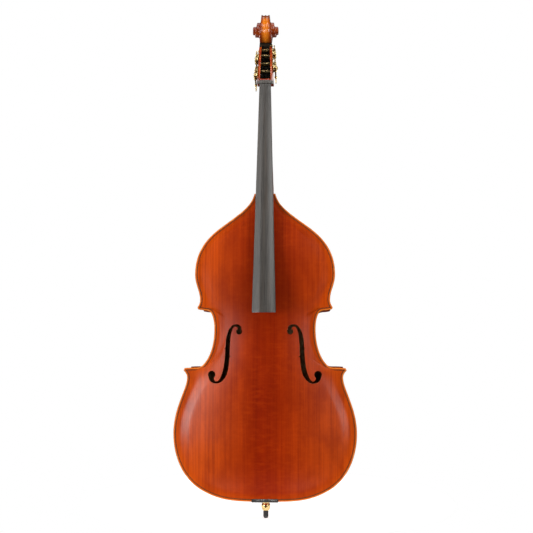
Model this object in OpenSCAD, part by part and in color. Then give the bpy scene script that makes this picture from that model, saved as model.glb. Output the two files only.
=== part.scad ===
// Double bass standing on its endpin. The endpin tip is the origin, +Z is up,
// the top plate faces -Y and +X is the treble side. Millimetres.

/* [View] */
// Sub-part to draw

/* [Body] */
// Height of the body's lower edge above the floor
body_z = 76; // [72:1:84]
// Depth of the ribs between the plates
rib_h = 192; // [180:2:204]
// Thickness of the ribs
rib_t = 2.2; // [1.8:0.1:3]
// Overhang of the plates outside the ribs
overhang = 5.5; // [4:0.5:6]
// Thickness of both plates at the edge
edge_t = 7; // [6:0.5:8]
// Rise of the top plate's arch above its edge
top_arch = 38; // [30:1:42]
// Rise of the back plate's arch above its edge
back_arch = 30; // [22:1:34]
// Thickness of the top plate in the middle
top_t = 8; // [6:0.5:9]
// Thickness of the back plate in the middle
back_t = 7; // [5.5:0.5:8]
// Inset of the purfling's outer edge
purf_in = 6.4; // [6:0.2:7]
// Width of the purfling
purf_w = 3.2; // [2:0.2:3.6]
// Depth of the purfling's channel
purf_d = 2.2; // [1.4:0.2:3]

/* [Neck] */
// Length of the fingerboard
board_len = 865; // [840:5:880]
// Fingerboard width at its lower end
board_w_end = 85; // [78:1:90]
// Fingerboard width at the nut
board_w_nut = 43; // [41:1:45]
// Fingerboard thickness along its edges
board_t = 9.5; // [8:0.5:11]
// Radius across the fingerboard at the lower end
board_r_end = 88; // [80:1:110]
// Radius across the fingerboard at the nut
board_r_nut = 70; // [60:1:90]
// Share of the width taken by the flat along the bass side
bevel_share = 0.3; // [0.2:0.02:0.36]
// Height of the fingerboard's underside above the top plate's edge at the shoulders
overstand = 31.8; // [28:0.2:36]
// Backward slope of the fingerboard, rise per length
board_slope = 0.1556; // [0.150:0.001:0.160]

/* [Head] */
// Backward lean of the pegbox
lean = 14; // [13:0.5:15]
// Half width of the pegbox at the nut
box_half = 31.9; // [31:0.1:33]
// Narrowing of each cheek along the pegbox, width per length
box_taper = 0.0463; // [0.044:0.0005:0.048]
// Radius of the rollers
roller_r = 7; // [6:0.5:7.5]
// Teeth on each tuner gear
gear_teeth = 24; // [24:1:24]
// Pitch radius of the tuner gears
gear_r = 17; // [17:0.1:17]
// Pitch radius of the worms
worm_r = 5; // [5:0.1:5.1]

/* [Endpin] */
// Diameter of the endpin rod
rod_d = 10; // [8:1:11]
// Length of the endpin rod
rod_len = 400; // [340:10:420]

/* [Hidden] */
// Height of the shoulders above the body's lower edge
body_len = 1115;
// Radial clearance of a running fit
gap = 0.06;
half_y = rib_h / 2;
plate_y = half_y + edge_t;
rib_in = overhang + rib_t;
lining_t = 7;
lining_h = 22;
top_half = 38.5;
tip_half = 0.15;
n_low = 24;
n_mid = 18;
mid_warp = 0.55;
n_up = 20;
low_points = n_low + 1;
mid_points = n_mid + 1;
up_points = n_up + 1;
ring_half = low_points + mid_points + up_points;
ring_n = 2 * ring_half;
steps = 24;

// Outline of the right half, from the middle of the lower edge to the shoulder,
// as Bezier pieces in [half width, height above the lower edge]
low_curve = [
    [[0, 0], [109, 0], [158, 2], [224, 38]],
    [[224, 38], [290, 74], [331, 150], [331, 244]],
    [[331, 244], [331, 334], [282.5, 401], [282.5, 442]],
    [[282.5, 442], [282.5, 452], [289, 460], [296, 467]]
];
mid_curve = [
    [[292, 475.5], [239, 480], [239, 469], [216.5, 497]],
    [[216.5, 497], [202, 515], [184.5, 556], [184.5, 612]],
    [[184.5, 612], [184.5, 649], [190, 663], [197, 676]],
    [[197, 676], [202.5, 687], [227, 682.5], [244.5, 688.5]]
];
up_curve = [
    [[247, 695.5], [242.5, 702], [237.5, 711], [237.5, 721]],
    [[237.5, 721], [237.5, 758], [256.5, 776], [256.5, 818]],
    [[256.5, 818], [256.5, 903], [212, 953], [157.5, 992.5]],
    [[157.5, 992.5], [75.5, 1052], [50.5, 1071], [top_half, 1115]]
];
// Foot line of the arch, a rounded figure without corners, bottom to top
foot_curve = [
    [[0, 62], [170, 62], [268, 140], [268, 245]],
    [[268, 245], [268, 390], [138, 480], [138, 610]],
    [[138, 610], [138, 700], [200, 730], [200, 815]],
    [[200, 815], [200, 920], [105, 1022], [0, 1022]]
];
foot_low = 1.6;
foot_high = 2.36;
foot_end = 3.85;
spine_z0 = 235;
spine_z1 = 860;
foot_gap = 0.012;
foot_rise = 0.29;
flat_in = 13;
lining_in = 26;

function bez(p, t) =
    pow(1 - t, 3) * p[0] + 3 * pow(1 - t, 2) * t * p[1]
    + 3 * (1 - t) * t * t * p[2] + pow(t, 3) * p[3];
function trace(curve) =
    concat([for (s = curve) for (i = [0 : steps - 1]) bez(s, i / steps)],
           [curve[len(curve) - 1][3]]);
function run(p) =
    [for (i = 0, s = 0; i < len(p);
          s = s + (i < len(p) - 1 ? norm(p[i + 1] - p[i]) : 0), i = i + 1) s];
// A section holds lookup tables of width and height against the run length
function section(curve) =
    let (p = trace(curve), s = run(p), n = len(p) - 1)
    [[for (i = [0 : n]) [s[i], p[i][0]]], [for (i = [0 : n]) [s[i], p[i][1]]], s[n]];
function at(sec, s) = [lookup(s, sec[0]), lookup(s, sec[1])];
function unit(v) = v / norm(v);
function inward(sec, s) =
    let (t = unit(at(sec, min(s + 1, sec[2])) - at(sec, max(s - 1, 0)))) [-t[1], t[0]];
function shifted(sec, s, d) = at(sec, s) + d * inward(sec, s);

low = section(low_curve);
mid = section(mid_curve);
up = section(up_curve);
low_max = lookup(244, [for (i = [0 : len(low[1]) - 1]) [low[1][i][1], low[1][i][0]]]);
up_max = lookup(818, [for (i = [0 : len(up[1]) - 1]) [up[1][i][1], up[1][i][0]]]);

// A corner holds its two blunt ends, the point where its sides would meet, the
// outward direction and half the angle between the sides
function corner(a, da, b, db) =
    let (k = ((b[0] - a[0]) * db[1] - (b[1] - a[1]) * db[0])
             / (da[0] * db[1] - da[1] * db[0]))
    [a, b, a + k * da, unit(da + db), acos(da * db) / 2];
low_corner = corner(low_curve[3][3], unit(low_curve[3][3] - low_curve[3][2]),
                    mid_curve[0][0], unit(mid_curve[0][0] - mid_curve[0][1]));
up_corner = corner(mid_curve[3][3], unit(mid_curve[3][3] - mid_curve[3][2]),
                   up_curve[0][0], unit(up_curve[0][0] - up_curve[0][1]));
blunt_in = 5;
function mitre(c, d, side) =
    c[2] - c[3] * max(d, blunt_in) / sin(c[4]) + side * tip_half * unit(c[1] - c[0]);
function tip(c, d, side) =
    let (m = mitre(c, d, side), e = side < 0 ? c[0] : c[1])
    d >= blunt_in ? m : e + (m - e) * d / blunt_in;
function trim(c, d, end) = max(0, d / tan(c[4]) - norm(c[2] - end));

// Share of the run at step i of n, closer together towards both ends
function eased(i, n) = i / n - mid_warp * sin(360 * i / n) / (2 * PI);
// Points of each section moved inward by d
function low_line(d) =
    let (s1 = low[2] - trim(low_corner, d, low_corner[0]))
    [for (i = [0 : n_low]) i == n_low ? tip(low_corner, d, -1) : shifted(low, s1 * i / n_low, d)];
function mid_line(d) =
    let (s0 = trim(low_corner, d, low_corner[1]), s1 = mid[2] - trim(up_corner, d, up_corner[0]))
    [for (i = [0 : n_mid]) i == 0 ? tip(low_corner, d, 1)
        : i == n_mid ? tip(up_corner, d, -1) : shifted(mid, s0 + (s1 - s0) * eased(i, n_mid), d)];
function up_line(d) =
    let (s0 = trim(up_corner, d, up_corner[1]), s1 = up[2] - 1.03 * d, e = shifted(up, s1, d))
    [for (i = [0 : n_up]) i == 0 ? tip(up_corner, d, 1)
        : i == n_up ? [e[0], body_len - d] : shifted(up, s0 + (s1 - s0) * i / n_up, d)];
function half_line(d) = concat(low_line(d), mid_line(d), up_line(d));
function mirrored(p) = [for (i = [0 : len(p) - 1]) [-p[len(p) - 1 - i][0], p[len(p) - 1 - i][1]]];
function reversed(p) = [for (i = [0 : len(p) - 1]) p[len(p) - 1 - i]];
// Closed ring: right half upward, top centre, left half downward
function ring(p, top) =
    concat(p, [[0, top]], [for (i = [0 : len(p) - 2]) [-p[len(p) - 1 - i][0], p[len(p) - 1 - i][1]]]);
function edge_ring(d) = ring(half_line(d), body_len - d);

function foot_at(q) = let (k = min(3, floor(q))) bez(foot_curve[k], q - k);
function foot_q(i) =
    i <= n_low
    ? let (s = low[2] * i / n_low)
      (s < low_max ? s / low_max
                   : 1 + (foot_low - foot_gap - 1) * (s - low_max) / (low[2] - low_max))
    : i <= n_low + mid_points
    ? foot_low + foot_gap + (foot_high - foot_low - 2 * foot_gap) * (i - low_points) / n_mid
    : let (s = up[2] * (i - low_points - mid_points) / n_up, q0 = foot_high + foot_gap)
      (s < up_max ? q0 + (3 - q0) * s / up_max
                  : 3 + (foot_end - 3) * (s - up_max) / (up[2] - up_max));
foot_half = [for (i = [0 : ring_half - 1]) foot_at(foot_q(i))];
foot_ring = ring(foot_half, foot_curve[3][3][1]);
flat_ring = edge_ring(flat_in);
function blend_ring(t) = [for (i = [0 : ring_n - 1]) flat_ring[i] * (1 - t) + foot_ring[i] * t];
function spine(p) = [0, max(spine_z0, min(spine_z1, p[1]))];
function crown_ring(k) = [for (p = foot_ring) spine(p) + (p - spine(p)) * (1 - k)];
function crown_rise(k) = foot_rise + (1 - foot_rise) * sin(90 * k);
crown_steps = [0.25, 0.5, 0.75, 0.93];
crown_last = crown_steps[len(crown_steps) - 1];
// Foot line half width against height, and the share of the arch's rise inside it
foot_q0 = 0.4;
foot_q1 = 3.6;
foot_n = 80;
foot_table = [for (i = [0 : foot_n])
    let (p = foot_at(foot_q0 + (foot_q1 - foot_q0) * i / foot_n)) [p[1], p[0]]];
crown_table = concat([[0, foot_rise]], [for (k = crown_steps) [k, crown_rise(k)]],
                     [[1, crown_rise(crown_last)]]);
// Size of the figure through [x, z] against the foot line, shrunk towards the spine's end zs
function shrink(x, z, zs, lo, hi, n) =
    let (s = (lo + hi) / 2)
    n == 0 ? s
    : x / s > lookup(zs + (z - zs) / s, foot_table) ? shrink(x, z, zs, s, hi, n - 1)
    : shrink(x, z, zs, lo, s, n - 1);
function rise_at(x, z) =
    let (zs = max(spine_z0, min(spine_z1, z)),
         s = zs == z ? abs(x) / lookup(z, foot_table) : shrink(abs(x), z, zs, 0.05, 1, 14))
    lookup(max(0, 1 - s), crown_table);

// Rings of a plate from its hollow side, round the edge, to the crown: [points, depth outward]
function plate_rings(arch, mid_t) = concat(
    [for (k = reversed(crown_steps)) [crown_ring(k), arch * crown_rise(k) - mid_t]],
    [[foot_ring, arch * foot_rise - mid_t],
     [edge_ring(lining_in), -edge_t],
     [edge_ring(1.5), -edge_t],
     [edge_ring(0), 1.5 - edge_t],
     [edge_ring(0), -1.5],
     [edge_ring(1.5), 0],
     [edge_ring(purf_in), 0],
     [edge_ring(purf_in), -purf_d],
     [edge_ring(purf_in + purf_w), -purf_d],
     [edge_ring(purf_in + purf_w), 0],
     [flat_ring, 0],
     [blend_ring(0.5), arch * foot_rise * 0.25],
     [foot_ring, arch * foot_rise]],
    [for (k = crown_steps) [crown_ring(k), arch * crown_rise(k)]]);
module plate(arch, mid_t, side) {
    rings = plate_rings(arch, mid_t);
    last = len(rings) - 1;
    pts = [for (r = rings) for (p = r[0]) [p[0], side * (plate_y + r[1]), body_z + p[1]]];
    sides = [for (k = [0 : last - 1]) for (i = [0 : ring_n - 1])
        let (a = k * ring_n + i, b = k * ring_n + (i + 1) % ring_n)
        each [[a, b, b + ring_n], [a, b + ring_n, a + ring_n]]];
    first_cap = [for (i = [0 : ring_half - 1]) let (j = ring_n - i)
        each (i == 0 ? [[0, ring_n - 1, 1]] : [[i, j - 1, i + 1], [i, j, j - 1]])];
    c = last * ring_n;
    last_cap = [for (f = first_cap) [c + f[0], c + f[2], c + f[1]]];
    valid = [for (f = concat(sides, first_cap, last_cap))
        if (f[0] != f[1] && f[1] != f[2] && f[0] != f[2]) f];
    polyhedron(pts, side > 0 ? valid : [for (f = valid) [f[0], f[2], f[1]]]);
}

// A flat figure in [x, height above the body's lower edge], standing between two depths
module slab(y0, y1) {
    translate([0, y1, body_z])
        rotate([90, 0, 0])
            linear_extrude(y1 - y0)
                children();
}
module strip(outer, inner) {
    polygon(concat(outer, reversed(inner)));
}

// f-hole: a swept disc along a curve, wide in the stem and thin at the two necks
f_curve = [
    [[-90, 619], [-94, 627], [-99, 629], [-106, 629]],
    [[-106, 629], [-121, 629], [-132, 602], [-133.5, 565]],
    [[-133.5, 565], [-135, 530], [-135.5, 485], [-144, 460]],
    [[-144, 460], [-149, 442], [-161, 424], [-174, 424]],
    [[-174, 424], [-183, 424], [-191, 431], [-194, 441]]
];
f_radius = [6.5, 4, 8.2, 9, 3.8, 8.6];
f_steps = 4;
upper_eye = [-92, 607.5, 11];
lower_eye = [-192, 452, 13.7];
module f_disc(p, r) {
    translate([p[0], -plate_y - top_arch - 5, body_z + p[1]])
        rotate([-90, 0, 0])
            cylinder(h = top_arch + 30, r = r, $fn = 20);
}
module f_cut(side) {
    scale([-side, 1, 1]) {
        f_disc(upper_eye, upper_eye[2]);
        f_disc(lower_eye, lower_eye[2]);
        for (k = [0 : len(f_curve) - 1])
            for (i = [0 : f_steps - 1])
                hull() {
                    f_disc(bez(f_curve[k], i / f_steps),
                           f_radius[k] + (f_radius[k + 1] - f_radius[k]) * i / f_steps);
                    f_disc(bez(f_curve[k], (i + 1) / f_steps),
                           f_radius[k] + (f_radius[k + 1] - f_radius[k]) * (i + 1) / f_steps);
                }
    }
}

saddle_half = 47.5;
saddle_up = 10;
module top_plate() {
    color([0.62, 0.19, 0.05])
        difference() {
            plate(top_arch, top_t, -1);
            f_cut(-1);
            f_cut(1);
            translate([-saddle_half - 0.1, -plate_y - 10, body_z - 5])
                cube([2 * saddle_half + 0.2, 12 + edge_t, saddle_up + 5.1]);
        }
}
button_half = 24;
button_up = 36;
module back_plate() {
    color([0.55, 0.16, 0.05]) {
        plate(back_arch, back_t, 1);
        for (i = [0 : 8])
            hull() {
                for (x = [-1, 1])
                    translate([x * button_half * cos(10 * i), plate_y, body_z + body_len - 6])
                        rotate([90, 0, 0])
                            cylinder(h = edge_t, r = 0.5, $fn = 12);
                for (x = [-1, 1])
                    translate([x * button_half * cos(10 * i), plate_y,
                               body_z + body_len + button_up - button_half * (1 - sin(10 * i))])
                        rotate([90, 0, 0])
                            cylinder(h = edge_t, r = 0.5, $fn = 12);
            }
    }
}

plug_r = 15;
module rib(outer, inner, side) {
    color([0.6, 0.2, 0.06])
        difference() {
            slab(-half_y, half_y)
                scale([side, 1])
                    strip(outer, inner);
            translate([0, 0, body_z - 1])
                cylinder(h = 30, r = plug_r + gap, $fn = 64);
        }
}
module rib_lower(side) {
    rib(low_line(overhang), low_line(rib_in), side);
}
module rib_waist(side) {
    rib(mid_line(overhang), mid_line(rib_in), side);
}
tenon_half = 22;
rib_end = tenon_half + 0.3;
module rib_upper(side) {
    rib(concat(up_line(overhang), [[rib_end, body_len - overhang]]),
        concat(up_line(rib_in), [[rib_end, body_len - rib_in]]), side);
}
module lower_bass_rib() {
    rib_lower(-1);
}
module lower_treble_rib() {
    rib_lower(1);
}
module waist_bass_rib() {
    rib_waist(-1);
}
module waist_treble_rib() {
    rib_waist(1);
}
module upper_bass_rib() {
    rib_upper(-1);
}
module upper_treble_rib() {
    rib_upper(1);
}

// Blocks are flat figures bounded by the inner faces of the ribs
end_half = 75;
end_up = 58;
neck_block_z = 1035;
function below(p, z) = [for (q = p) if (q[1] < z) q];
function above(p, z) = [for (q = p) if (q[1] > z) q];
function within(p, x) = [for (q = p) if (q[0] < x) q];
// Heights at which the corner blocks end on the bouts and in the waist
low_block_z = [412, 520];
up_block_z = [652, 745];
low_inner = [[188, 497], [262, 412]];
up_inner = [[215, 750], [170, 692]];
module end_figure() {
    p = within(low_line(rib_in), end_half);
    half = [for (i = [1 : len(p) - 1]) p[i]];
    side = concat(half, [[end_half, p[len(p) - 1][1] + 1], [end_half - 6, end_up]]);
    polygon(concat(side, mirrored(side)));
}
module neck_figure() {
    p = above(up_line(rib_in), neck_block_z);
    polygon(concat(p, mirrored(p)));
}
module low_corner_figure() {
    p = below(mid_line(rib_in), low_block_z[1]);
    polygon(concat(above(low_line(rib_in), low_block_z[0]), [for (i = [1 : len(p) - 1]) p[i]], low_inner));
}
module up_corner_figure() {
    p = below(up_line(rib_in), up_block_z[1]);
    polygon(concat(above(mid_line(rib_in), up_block_z[0]), [for (i = [1 : len(p) - 1]) p[i]], up_inner));
}
module block_figures() {
    end_figure();
    neck_figure();
    for (side = [-1, 1])
        scale([side, 1]) {
            low_corner_figure();
            up_corner_figure();
        }
}
wood_c = [0.8, 0.66, 0.45];
module end_block() {
    color(wood_c)
        difference() {
            slab(-half_y, half_y)
                end_figure();
            translate([0, 0, body_z])
                cylinder(h = 46, r1 = plug_r + gap, r2 = plug_r - 2.5 + gap, $fn = 64);
            translate([0, 0, body_z + 40])
                cylinder(h = 40, r = rod_d / 2 + 1.5, $fn = 48);
        }
}
tenon_z = 1092;
module neck_block() {
    color(wood_c)
        difference() {
            slab(-half_y, half_y)
                neck_figure();
            translate([-tenon_half - 0.1, -half_y - 1, body_z + tenon_z - 0.1])
                cube([2 * tenon_half + 0.2, rib_h + 2, 60]);
        }
}
module corner_block(side) {
    color(wood_c)
        slab(-half_y, half_y)
            scale([side, 1])
                children();
}
module low_bass_block() {
    corner_block(-1)
        low_corner_figure();
}
module low_treble_block() {
    corner_block(1)
        low_corner_figure();
}
module up_bass_block() {
    corner_block(-1)
        up_corner_figure();
}
module up_treble_block() {
    corner_block(1)
        up_corner_figure();
}
module lining_figure() {
    difference() {
        for (side = [-1, 1])
            scale([side, 1]) {
                strip(low_line(rib_in), low_line(rib_in + lining_t));
                strip(mid_line(rib_in), mid_line(rib_in + lining_t));
                strip(up_line(rib_in), up_line(rib_in + lining_t));
            }
        block_figures();
        translate([-end_half, -1])
            square([2 * end_half, end_up]);
        translate([-80, neck_block_z])
            square([160, 90]);
    }
}
module top_linings() {
    color(wood_c)
        slab(-half_y, lining_h - half_y)
            lining_figure();
}
module back_linings() {
    color(wood_c)
        slab(half_y - lining_h, half_y)
            lining_figure();
}

module purfling(side) {
    d0 = purf_in + 0.05;
    d1 = purf_in + purf_w - 0.05;
    y0 = side < 0 ? -plate_y : plate_y - purf_d;
    color([0.06, 0.03, 0.02])
        difference() {
            slab(y0, y0 + purf_d)
                difference() {
                    polygon(edge_ring(d0));
                    polygon(edge_ring(d1));
                }
            if (side < 0)
                translate([-saddle_half - 0.1, -plate_y - 1, body_z - 5])
                    cube([2 * saddle_half + 0.2, 12 + edge_t, saddle_up + 5.1]);
        }
}
module purfling_top() {
    purfling(-1);
}
module purfling_back() {
    purfling(1);
}

bar_x = -52;
bar_t = 18;
bar_z0 = 200;
bar_len = 730;
bar_steps = 24;
bar_low = 8;
bar_deep = 28;
inner_gap = 1.2;
function bar_top(x, z) = -plate_y - top_arch * rise_at(x, z) + top_t + inner_gap;
module bass_bar() {
    profile = [for (i = [0 : bar_steps]) let (z = bar_z0 + bar_len * i / bar_steps)
        [max(bar_top(bar_x - bar_t / 2, z), bar_top(bar_x + bar_t / 2, z)), z]];
    deep = [for (i = [0 : bar_steps]) let (z = bar_z0 + bar_len * (1 - i / bar_steps))
        [bar_top(bar_x - bar_t / 2, z) + bar_low + bar_deep * sin(180 * (1 - i / bar_steps)), z]];
    color(wood_c)
        translate([bar_x - bar_t / 2, 0, body_z])
            rotate([90, 0, 90])
                linear_extrude(bar_t)
                    polygon(concat(profile, deep));
}
post_x = 62;
post_z = 505;
post_r = 9;
module sound_post() {
    y0 = -plate_y - top_arch * rise_at(post_x + post_r, post_z) + top_t + inner_gap;
    y1 = plate_y + back_arch * rise_at(post_x + post_r, post_z) - back_t - inner_gap;
    color(wood_c)
        translate([post_x, y0, body_z + post_z])
            rotate([-90, 0, 0])
                cylinder(h = y1 - y0, r = post_r, $fn = 48);
}

saddle_rise = 6;
module saddle() {
    color([0.05, 0.045, 0.04])
        difference() {
            translate([-saddle_half, 0, body_z])
                rotate([90, 0, 90])
                    linear_extrude(2 * saddle_half)
                        polygon([[-half_y - 0.1, -1.5], [-plate_y - saddle_rise + 2, -1.5],
                                 [-plate_y - saddle_rise, 0.5], [-plate_y - saddle_rise, 4],
                                 [-plate_y - 1, saddle_up], [-half_y - 0.1, saddle_up]]);
            for (side = [-1, 1])
                translate([side * saddle_half, -plate_y - 0.5, body_z - 5])
                    rotate([0, 0, side > 0 ? -65 : 155])
                        cube([20, 20, 30]);
        }
}

// Endpin: a tapered plug in the end block, a brass ferrule, the rod, its tip and the thumbscrew
collar_r = 16.5;
ferrule_top = body_z - 14;
ferrule_low = 27;
tip_top = 27;
screw_z = 42;
// The screw points to the front; its wings stand askew
screw_turn = -90;
screw_r = 3;
wing_turn = 40;
wing = [4, 17, 10];
module endpin_plug() {
    color([0.35, 0.13, 0.05])
        difference() {
            union() {
                translate([0, 0, body_z])
                    cylinder(h = 46, r1 = plug_r, r2 = plug_r - 2.5, $fn = 64);
                translate([0, 0, ferrule_top])
                    cylinder(h = 14, r = plug_r, $fn = 64);
                translate([0, 0, ferrule_top])
                    cylinder(h = body_z + overhang - ferrule_top - 0.5, r = collar_r, $fn = 64);
            }
            translate([0, 0, ferrule_top - 1])
                cylinder(h = 70, r = rod_d / 2 + 0.3, $fn = 48);
        }
}
module endpin_ferrule() {
    color([0.8, 0.6, 0.25])
        difference() {
            rotate_extrude($fn = 64)
                polygon([[rod_d / 2 + gap, ferrule_low + 0.3], [10, ferrule_low + 0.3],
                         [13, ferrule_low + 2.5], [collar_r, ferrule_low + 9],
                         [collar_r + 0.5, ferrule_top - 8], [collar_r, ferrule_top],
                         [rod_d / 2 + gap, ferrule_top]]);
            translate([0, 0, screw_z])
                rotate([0, 0, screw_turn])
                    rotate([0, 90, 0])
                        cylinder(h = 40, r = screw_r + gap, $fn = 32);
        }
}
module endpin_rod() {
    color([0.72, 0.73, 0.75])
        translate([0, 0, 8])
            cylinder(h = rod_len, r = rod_d / 2, $fn = 48);
}
module endpin_tip() {
    color([0.06, 0.06, 0.06])
        difference() {
            rotate_extrude($fn = 64)
                polygon([[0, 0], [5.5, 0], [8, 3], [9.5, 8], [9.5, tip_top - 2],
                         [8.5, tip_top], [0, tip_top]]);
            translate([0, 0, 8])
                cylinder(h = 30, r = rod_d / 2, $fn = 48);
        }
}
module endpin_screw() {
    color([0.8, 0.6, 0.25])
        translate([0, 0, screw_z])
            rotate([0, 0, screw_turn])
                rotate([0, 90, 0]) {
                    translate([0, 0, rod_d / 2 + 0.35])
                        cylinder(h = 18, r = screw_r, $fn = 32);
                    translate([0, 0, 18])
                        cylinder(h = 4, r = 5, $fn = 32);
                    rotate([0, 0, wing_turn])
                        translate([-wing[0] / 2, -wing[1] / 2, 21])
                            cube(wing);
                }
}

// Neck: level sections stacked from the heel to the nut
nut_z0 = body_len + 423;
nut_z1 = nut_z0 + 12;
board_z0 = nut_z0 - board_len;
neck_z0 = body_len + 0.1;
function board_y(z) = -plate_y - overstand + (z - body_len) * board_slope;
function board_w(z) = board_w_nut + (board_w_end - board_w_nut) * (nut_z0 - z) / board_len;
neck_back = [[neck_z0, half_y - 0.1], [body_len + 32, half_y - 0.1], [body_len + 40, 84],
             [body_len + 52, 52], [body_len + 67, 12], [body_len + 84, -32],
             [body_len + 103, -66], [body_len + 128, -84], [body_len + 165, -88],
             [nut_z0 - 30, -43], [nut_z0 - 12, -38], [nut_z0, -24], [nut_z1, 0]];
neck_round = [[neck_z0, 0.35], [body_len + 60, 0.45], [body_len + 130, 0.8], [nut_z1, 0.8]];
neck_levels = [neck_z0, body_len + 18, body_len + 32, body_len + 40, body_len + 46, body_len + 52,
               body_len + 60, body_len + 67, body_len + 75, body_len + 84, body_len + 93,
               body_len + 103, body_len + 115, body_len + 128, body_len + 145, body_len + 165,
               body_len + 240, body_len + 320, nut_z0 - 30, nut_z0 - 12, nut_z0 - 4,
               nut_z0, nut_z0 + 6, nut_z1];
neck_sides = 18;
function neck_half(z) = z < nut_z0 - 1 ? board_w(z) / 2 - 0.2 : box_half - 0.3;
// Narrowing of a level section towards the back: at the heel and behind the nut
function neck_pinch(z, yb) = z > nut_z0 - 1 ? 0.45 : yb > 0 ? 0.25 : 0;
function neck_ring(z) =
    let (w = neck_half(z), yf = board_y(z), yb = lookup(z, neck_back), e = lookup(z, neck_round),
         s = (yb - yf) * 0.25)
    concat([[w, yf]],
           [for (i = [0 : neck_sides]) let (a = 180 * i / neck_sides)
            [w * sign(cos(a)) * pow(abs(cos(a)), 0.85) * (1 - neck_pinch(z, yb) * sin(a)),
             yf + s + (yb - yf - s) * pow(sin(a), e)]],
           [[-w, yf]]);
module stack(levels, rings) {
    n = len(rings[0]);
    m = len(rings);
    pts = [for (k = [0 : m - 1]) for (p = rings[k]) [p[0], p[1], body_z + levels[k]]];
    faces = concat(
        [[for (i = [0 : n - 1]) i]],
        [for (k = [0 : m - 2]) for (i = [0 : n - 1])
            let (a = k * n + i, b = k * n + (i + 1) % n)
            each [[a, a + n, b], [b, a + n, b + n]]],
        [[for (i = [0 : n - 1]) (m - 1) * n + n - 1 - i]]);
    polyhedron(pts, faces);
}
module neck() {
    color([0.62, 0.24, 0.08])
        union() {
            stack(neck_levels, [for (z = neck_levels) neck_ring(z)]);
            translate([-tenon_half, -half_y + 0.2, body_z + tenon_z])
                cube([2 * tenon_half, rib_h - 0.4, body_len - tenon_z + 4]);
        }
}

board_levels = [board_z0, board_z0 + 100, board_z0 + 250, body_len - 60, body_len - 12,
                body_len + 140, nut_z0 - 0.1];
board_hollow = [[board_z0, 8], [body_len - 60, 5], [body_len - 12, 0], [nut_z0, 0]];
board_sides = 20;
function board_r(z) = board_r_nut + (board_r_end - board_r_nut) * (nut_z0 - z) / board_len;
function board_ring(z) =
    let (w = board_w(z) / 2, r = board_r(z), yu = board_y(z) - 0.05, h = lookup(z, board_hollow),
         base = sqrt(r * r - w * w), xb = -w + 2 * w * bevel_share, yb = sqrt(r * r - xb * xb) - base)
    concat(
        [for (i = [0 : board_sides]) let (x = w - 2 * w * i / board_sides)
            [x, yu - board_t - (x > xb ? sqrt(r * r - x * x) - base : yb * (x + w) / (xb + w))]],
        [for (i = [0 : 8]) let (x = -w + 2 * w * i / 8)
            [x, yu - h * (1 - pow(x / w, 2))]]);
module fingerboard() {
    color([0.07, 0.06, 0.055])
        stack(board_levels, [for (z = board_levels) reversed(board_ring(z))]);
}
nut_half = board_w_nut / 2;
module nut() {
    yb = board_y(nut_z0);
    color([0.05, 0.045, 0.04])
        difference() {
            translate([0, 0, body_z + nut_z0 + 0.1])
                linear_extrude(nut_z1 - nut_z0 - 0.1)
                    polygon(concat(
                        [[-box_half + 0.3, board_y(nut_z0) - 0.05], [-box_half + 0.3, yb - 5],
                         [-nut_half - 2, yb - 6.5]],
                        [for (i = [0 : 10]) let (x = nut_half * (i / 5 - 1))
                            [x, yb - board_t - 3 - 4 * (1 - pow(x / nut_half, 2))]],
                        [[nut_half + 2, yb - 6.5], [box_half - 0.3, yb - 5],
                         [box_half - 0.3, board_y(nut_z0) - 0.05]]));
            for (x = [-15, -5, 5, 15])
                translate([x, yb - board_t - 7.6 + 0.012 * x * x, body_z + nut_z0 - 1])
                    cylinder(h = 20, r = 1.6, $fn = 20);
        }
}

// Head: the pegbox leans back; [depth, height] along it start at the front edge on the nut
box_y = board_y(nut_z1);
box_z = nut_z1 + 0.05;
function head_pt(u, v) =
    [box_y + v * sin(lean) + u * cos(lean), box_z + v * cos(lean) - u * sin(lean)];
scroll_v = 220;
scroll_a0 = 40;
scroll_a1 = 940;
scroll_step = 10;
turn = 360 / scroll_step;
function scroll_r(a) = 76 * exp(-0.0018 * a);
function scroll_uv(a, r) = [r * cos(a), scroll_v + r * sin(a)];
module at_head() {
    translate([0, box_y, body_z + box_z])
        rotate([-lean, 0, 0])
            children();
}
// Prism from a side view figure given in world [depth, height]
module side_prism(p, half) {
    translate([-half, 0, body_z])
        rotate([90, 0, 90])
            linear_extrude(2 * half)
                polygon(p);
}
function cheek(v) = box_half - v * box_taper;
module front_wedge(half0, taper, v0, v1) {
    at_head()
        translate([0, 150, 0])
            rotate([90, 0, 0])
                linear_extrude(200)
                    polygon([[-half0 + v0 * taper, v0], [half0 - v0 * taper, v0],
                             [half0 - v1 * taper, v1], [-half0 + v1 * taper, v1]]);
}
box_low = 13;
box_high = 170;
// Angle at which the scroll's rim takes over from the throat
throat_a = 290;
// The foot behind the nut: its depth, half width at the very bottom, and height of the slope
foot_u = 13;
foot_half_w = 23;
foot_up = 15;
foot_out = 40;
foot_back = 100;
box_in_half = 20.4;
box_in_taper = 0.03;
roller_u = 20;
roller_v = [53, 87, 122, 147];
roller_side = [-1, 1, -1, 1];
box_tilt = atan(box_taper);
function cheek_face(i) = cheek(roller_v[i]) * cos(box_tilt);
module at_roller(i) {
    at_head()
        translate([0, roller_u, roller_v[i]])
            scale([roller_side[i], 1, 1])
                rotate([0, -box_tilt, 0])
                    children();
}
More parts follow.
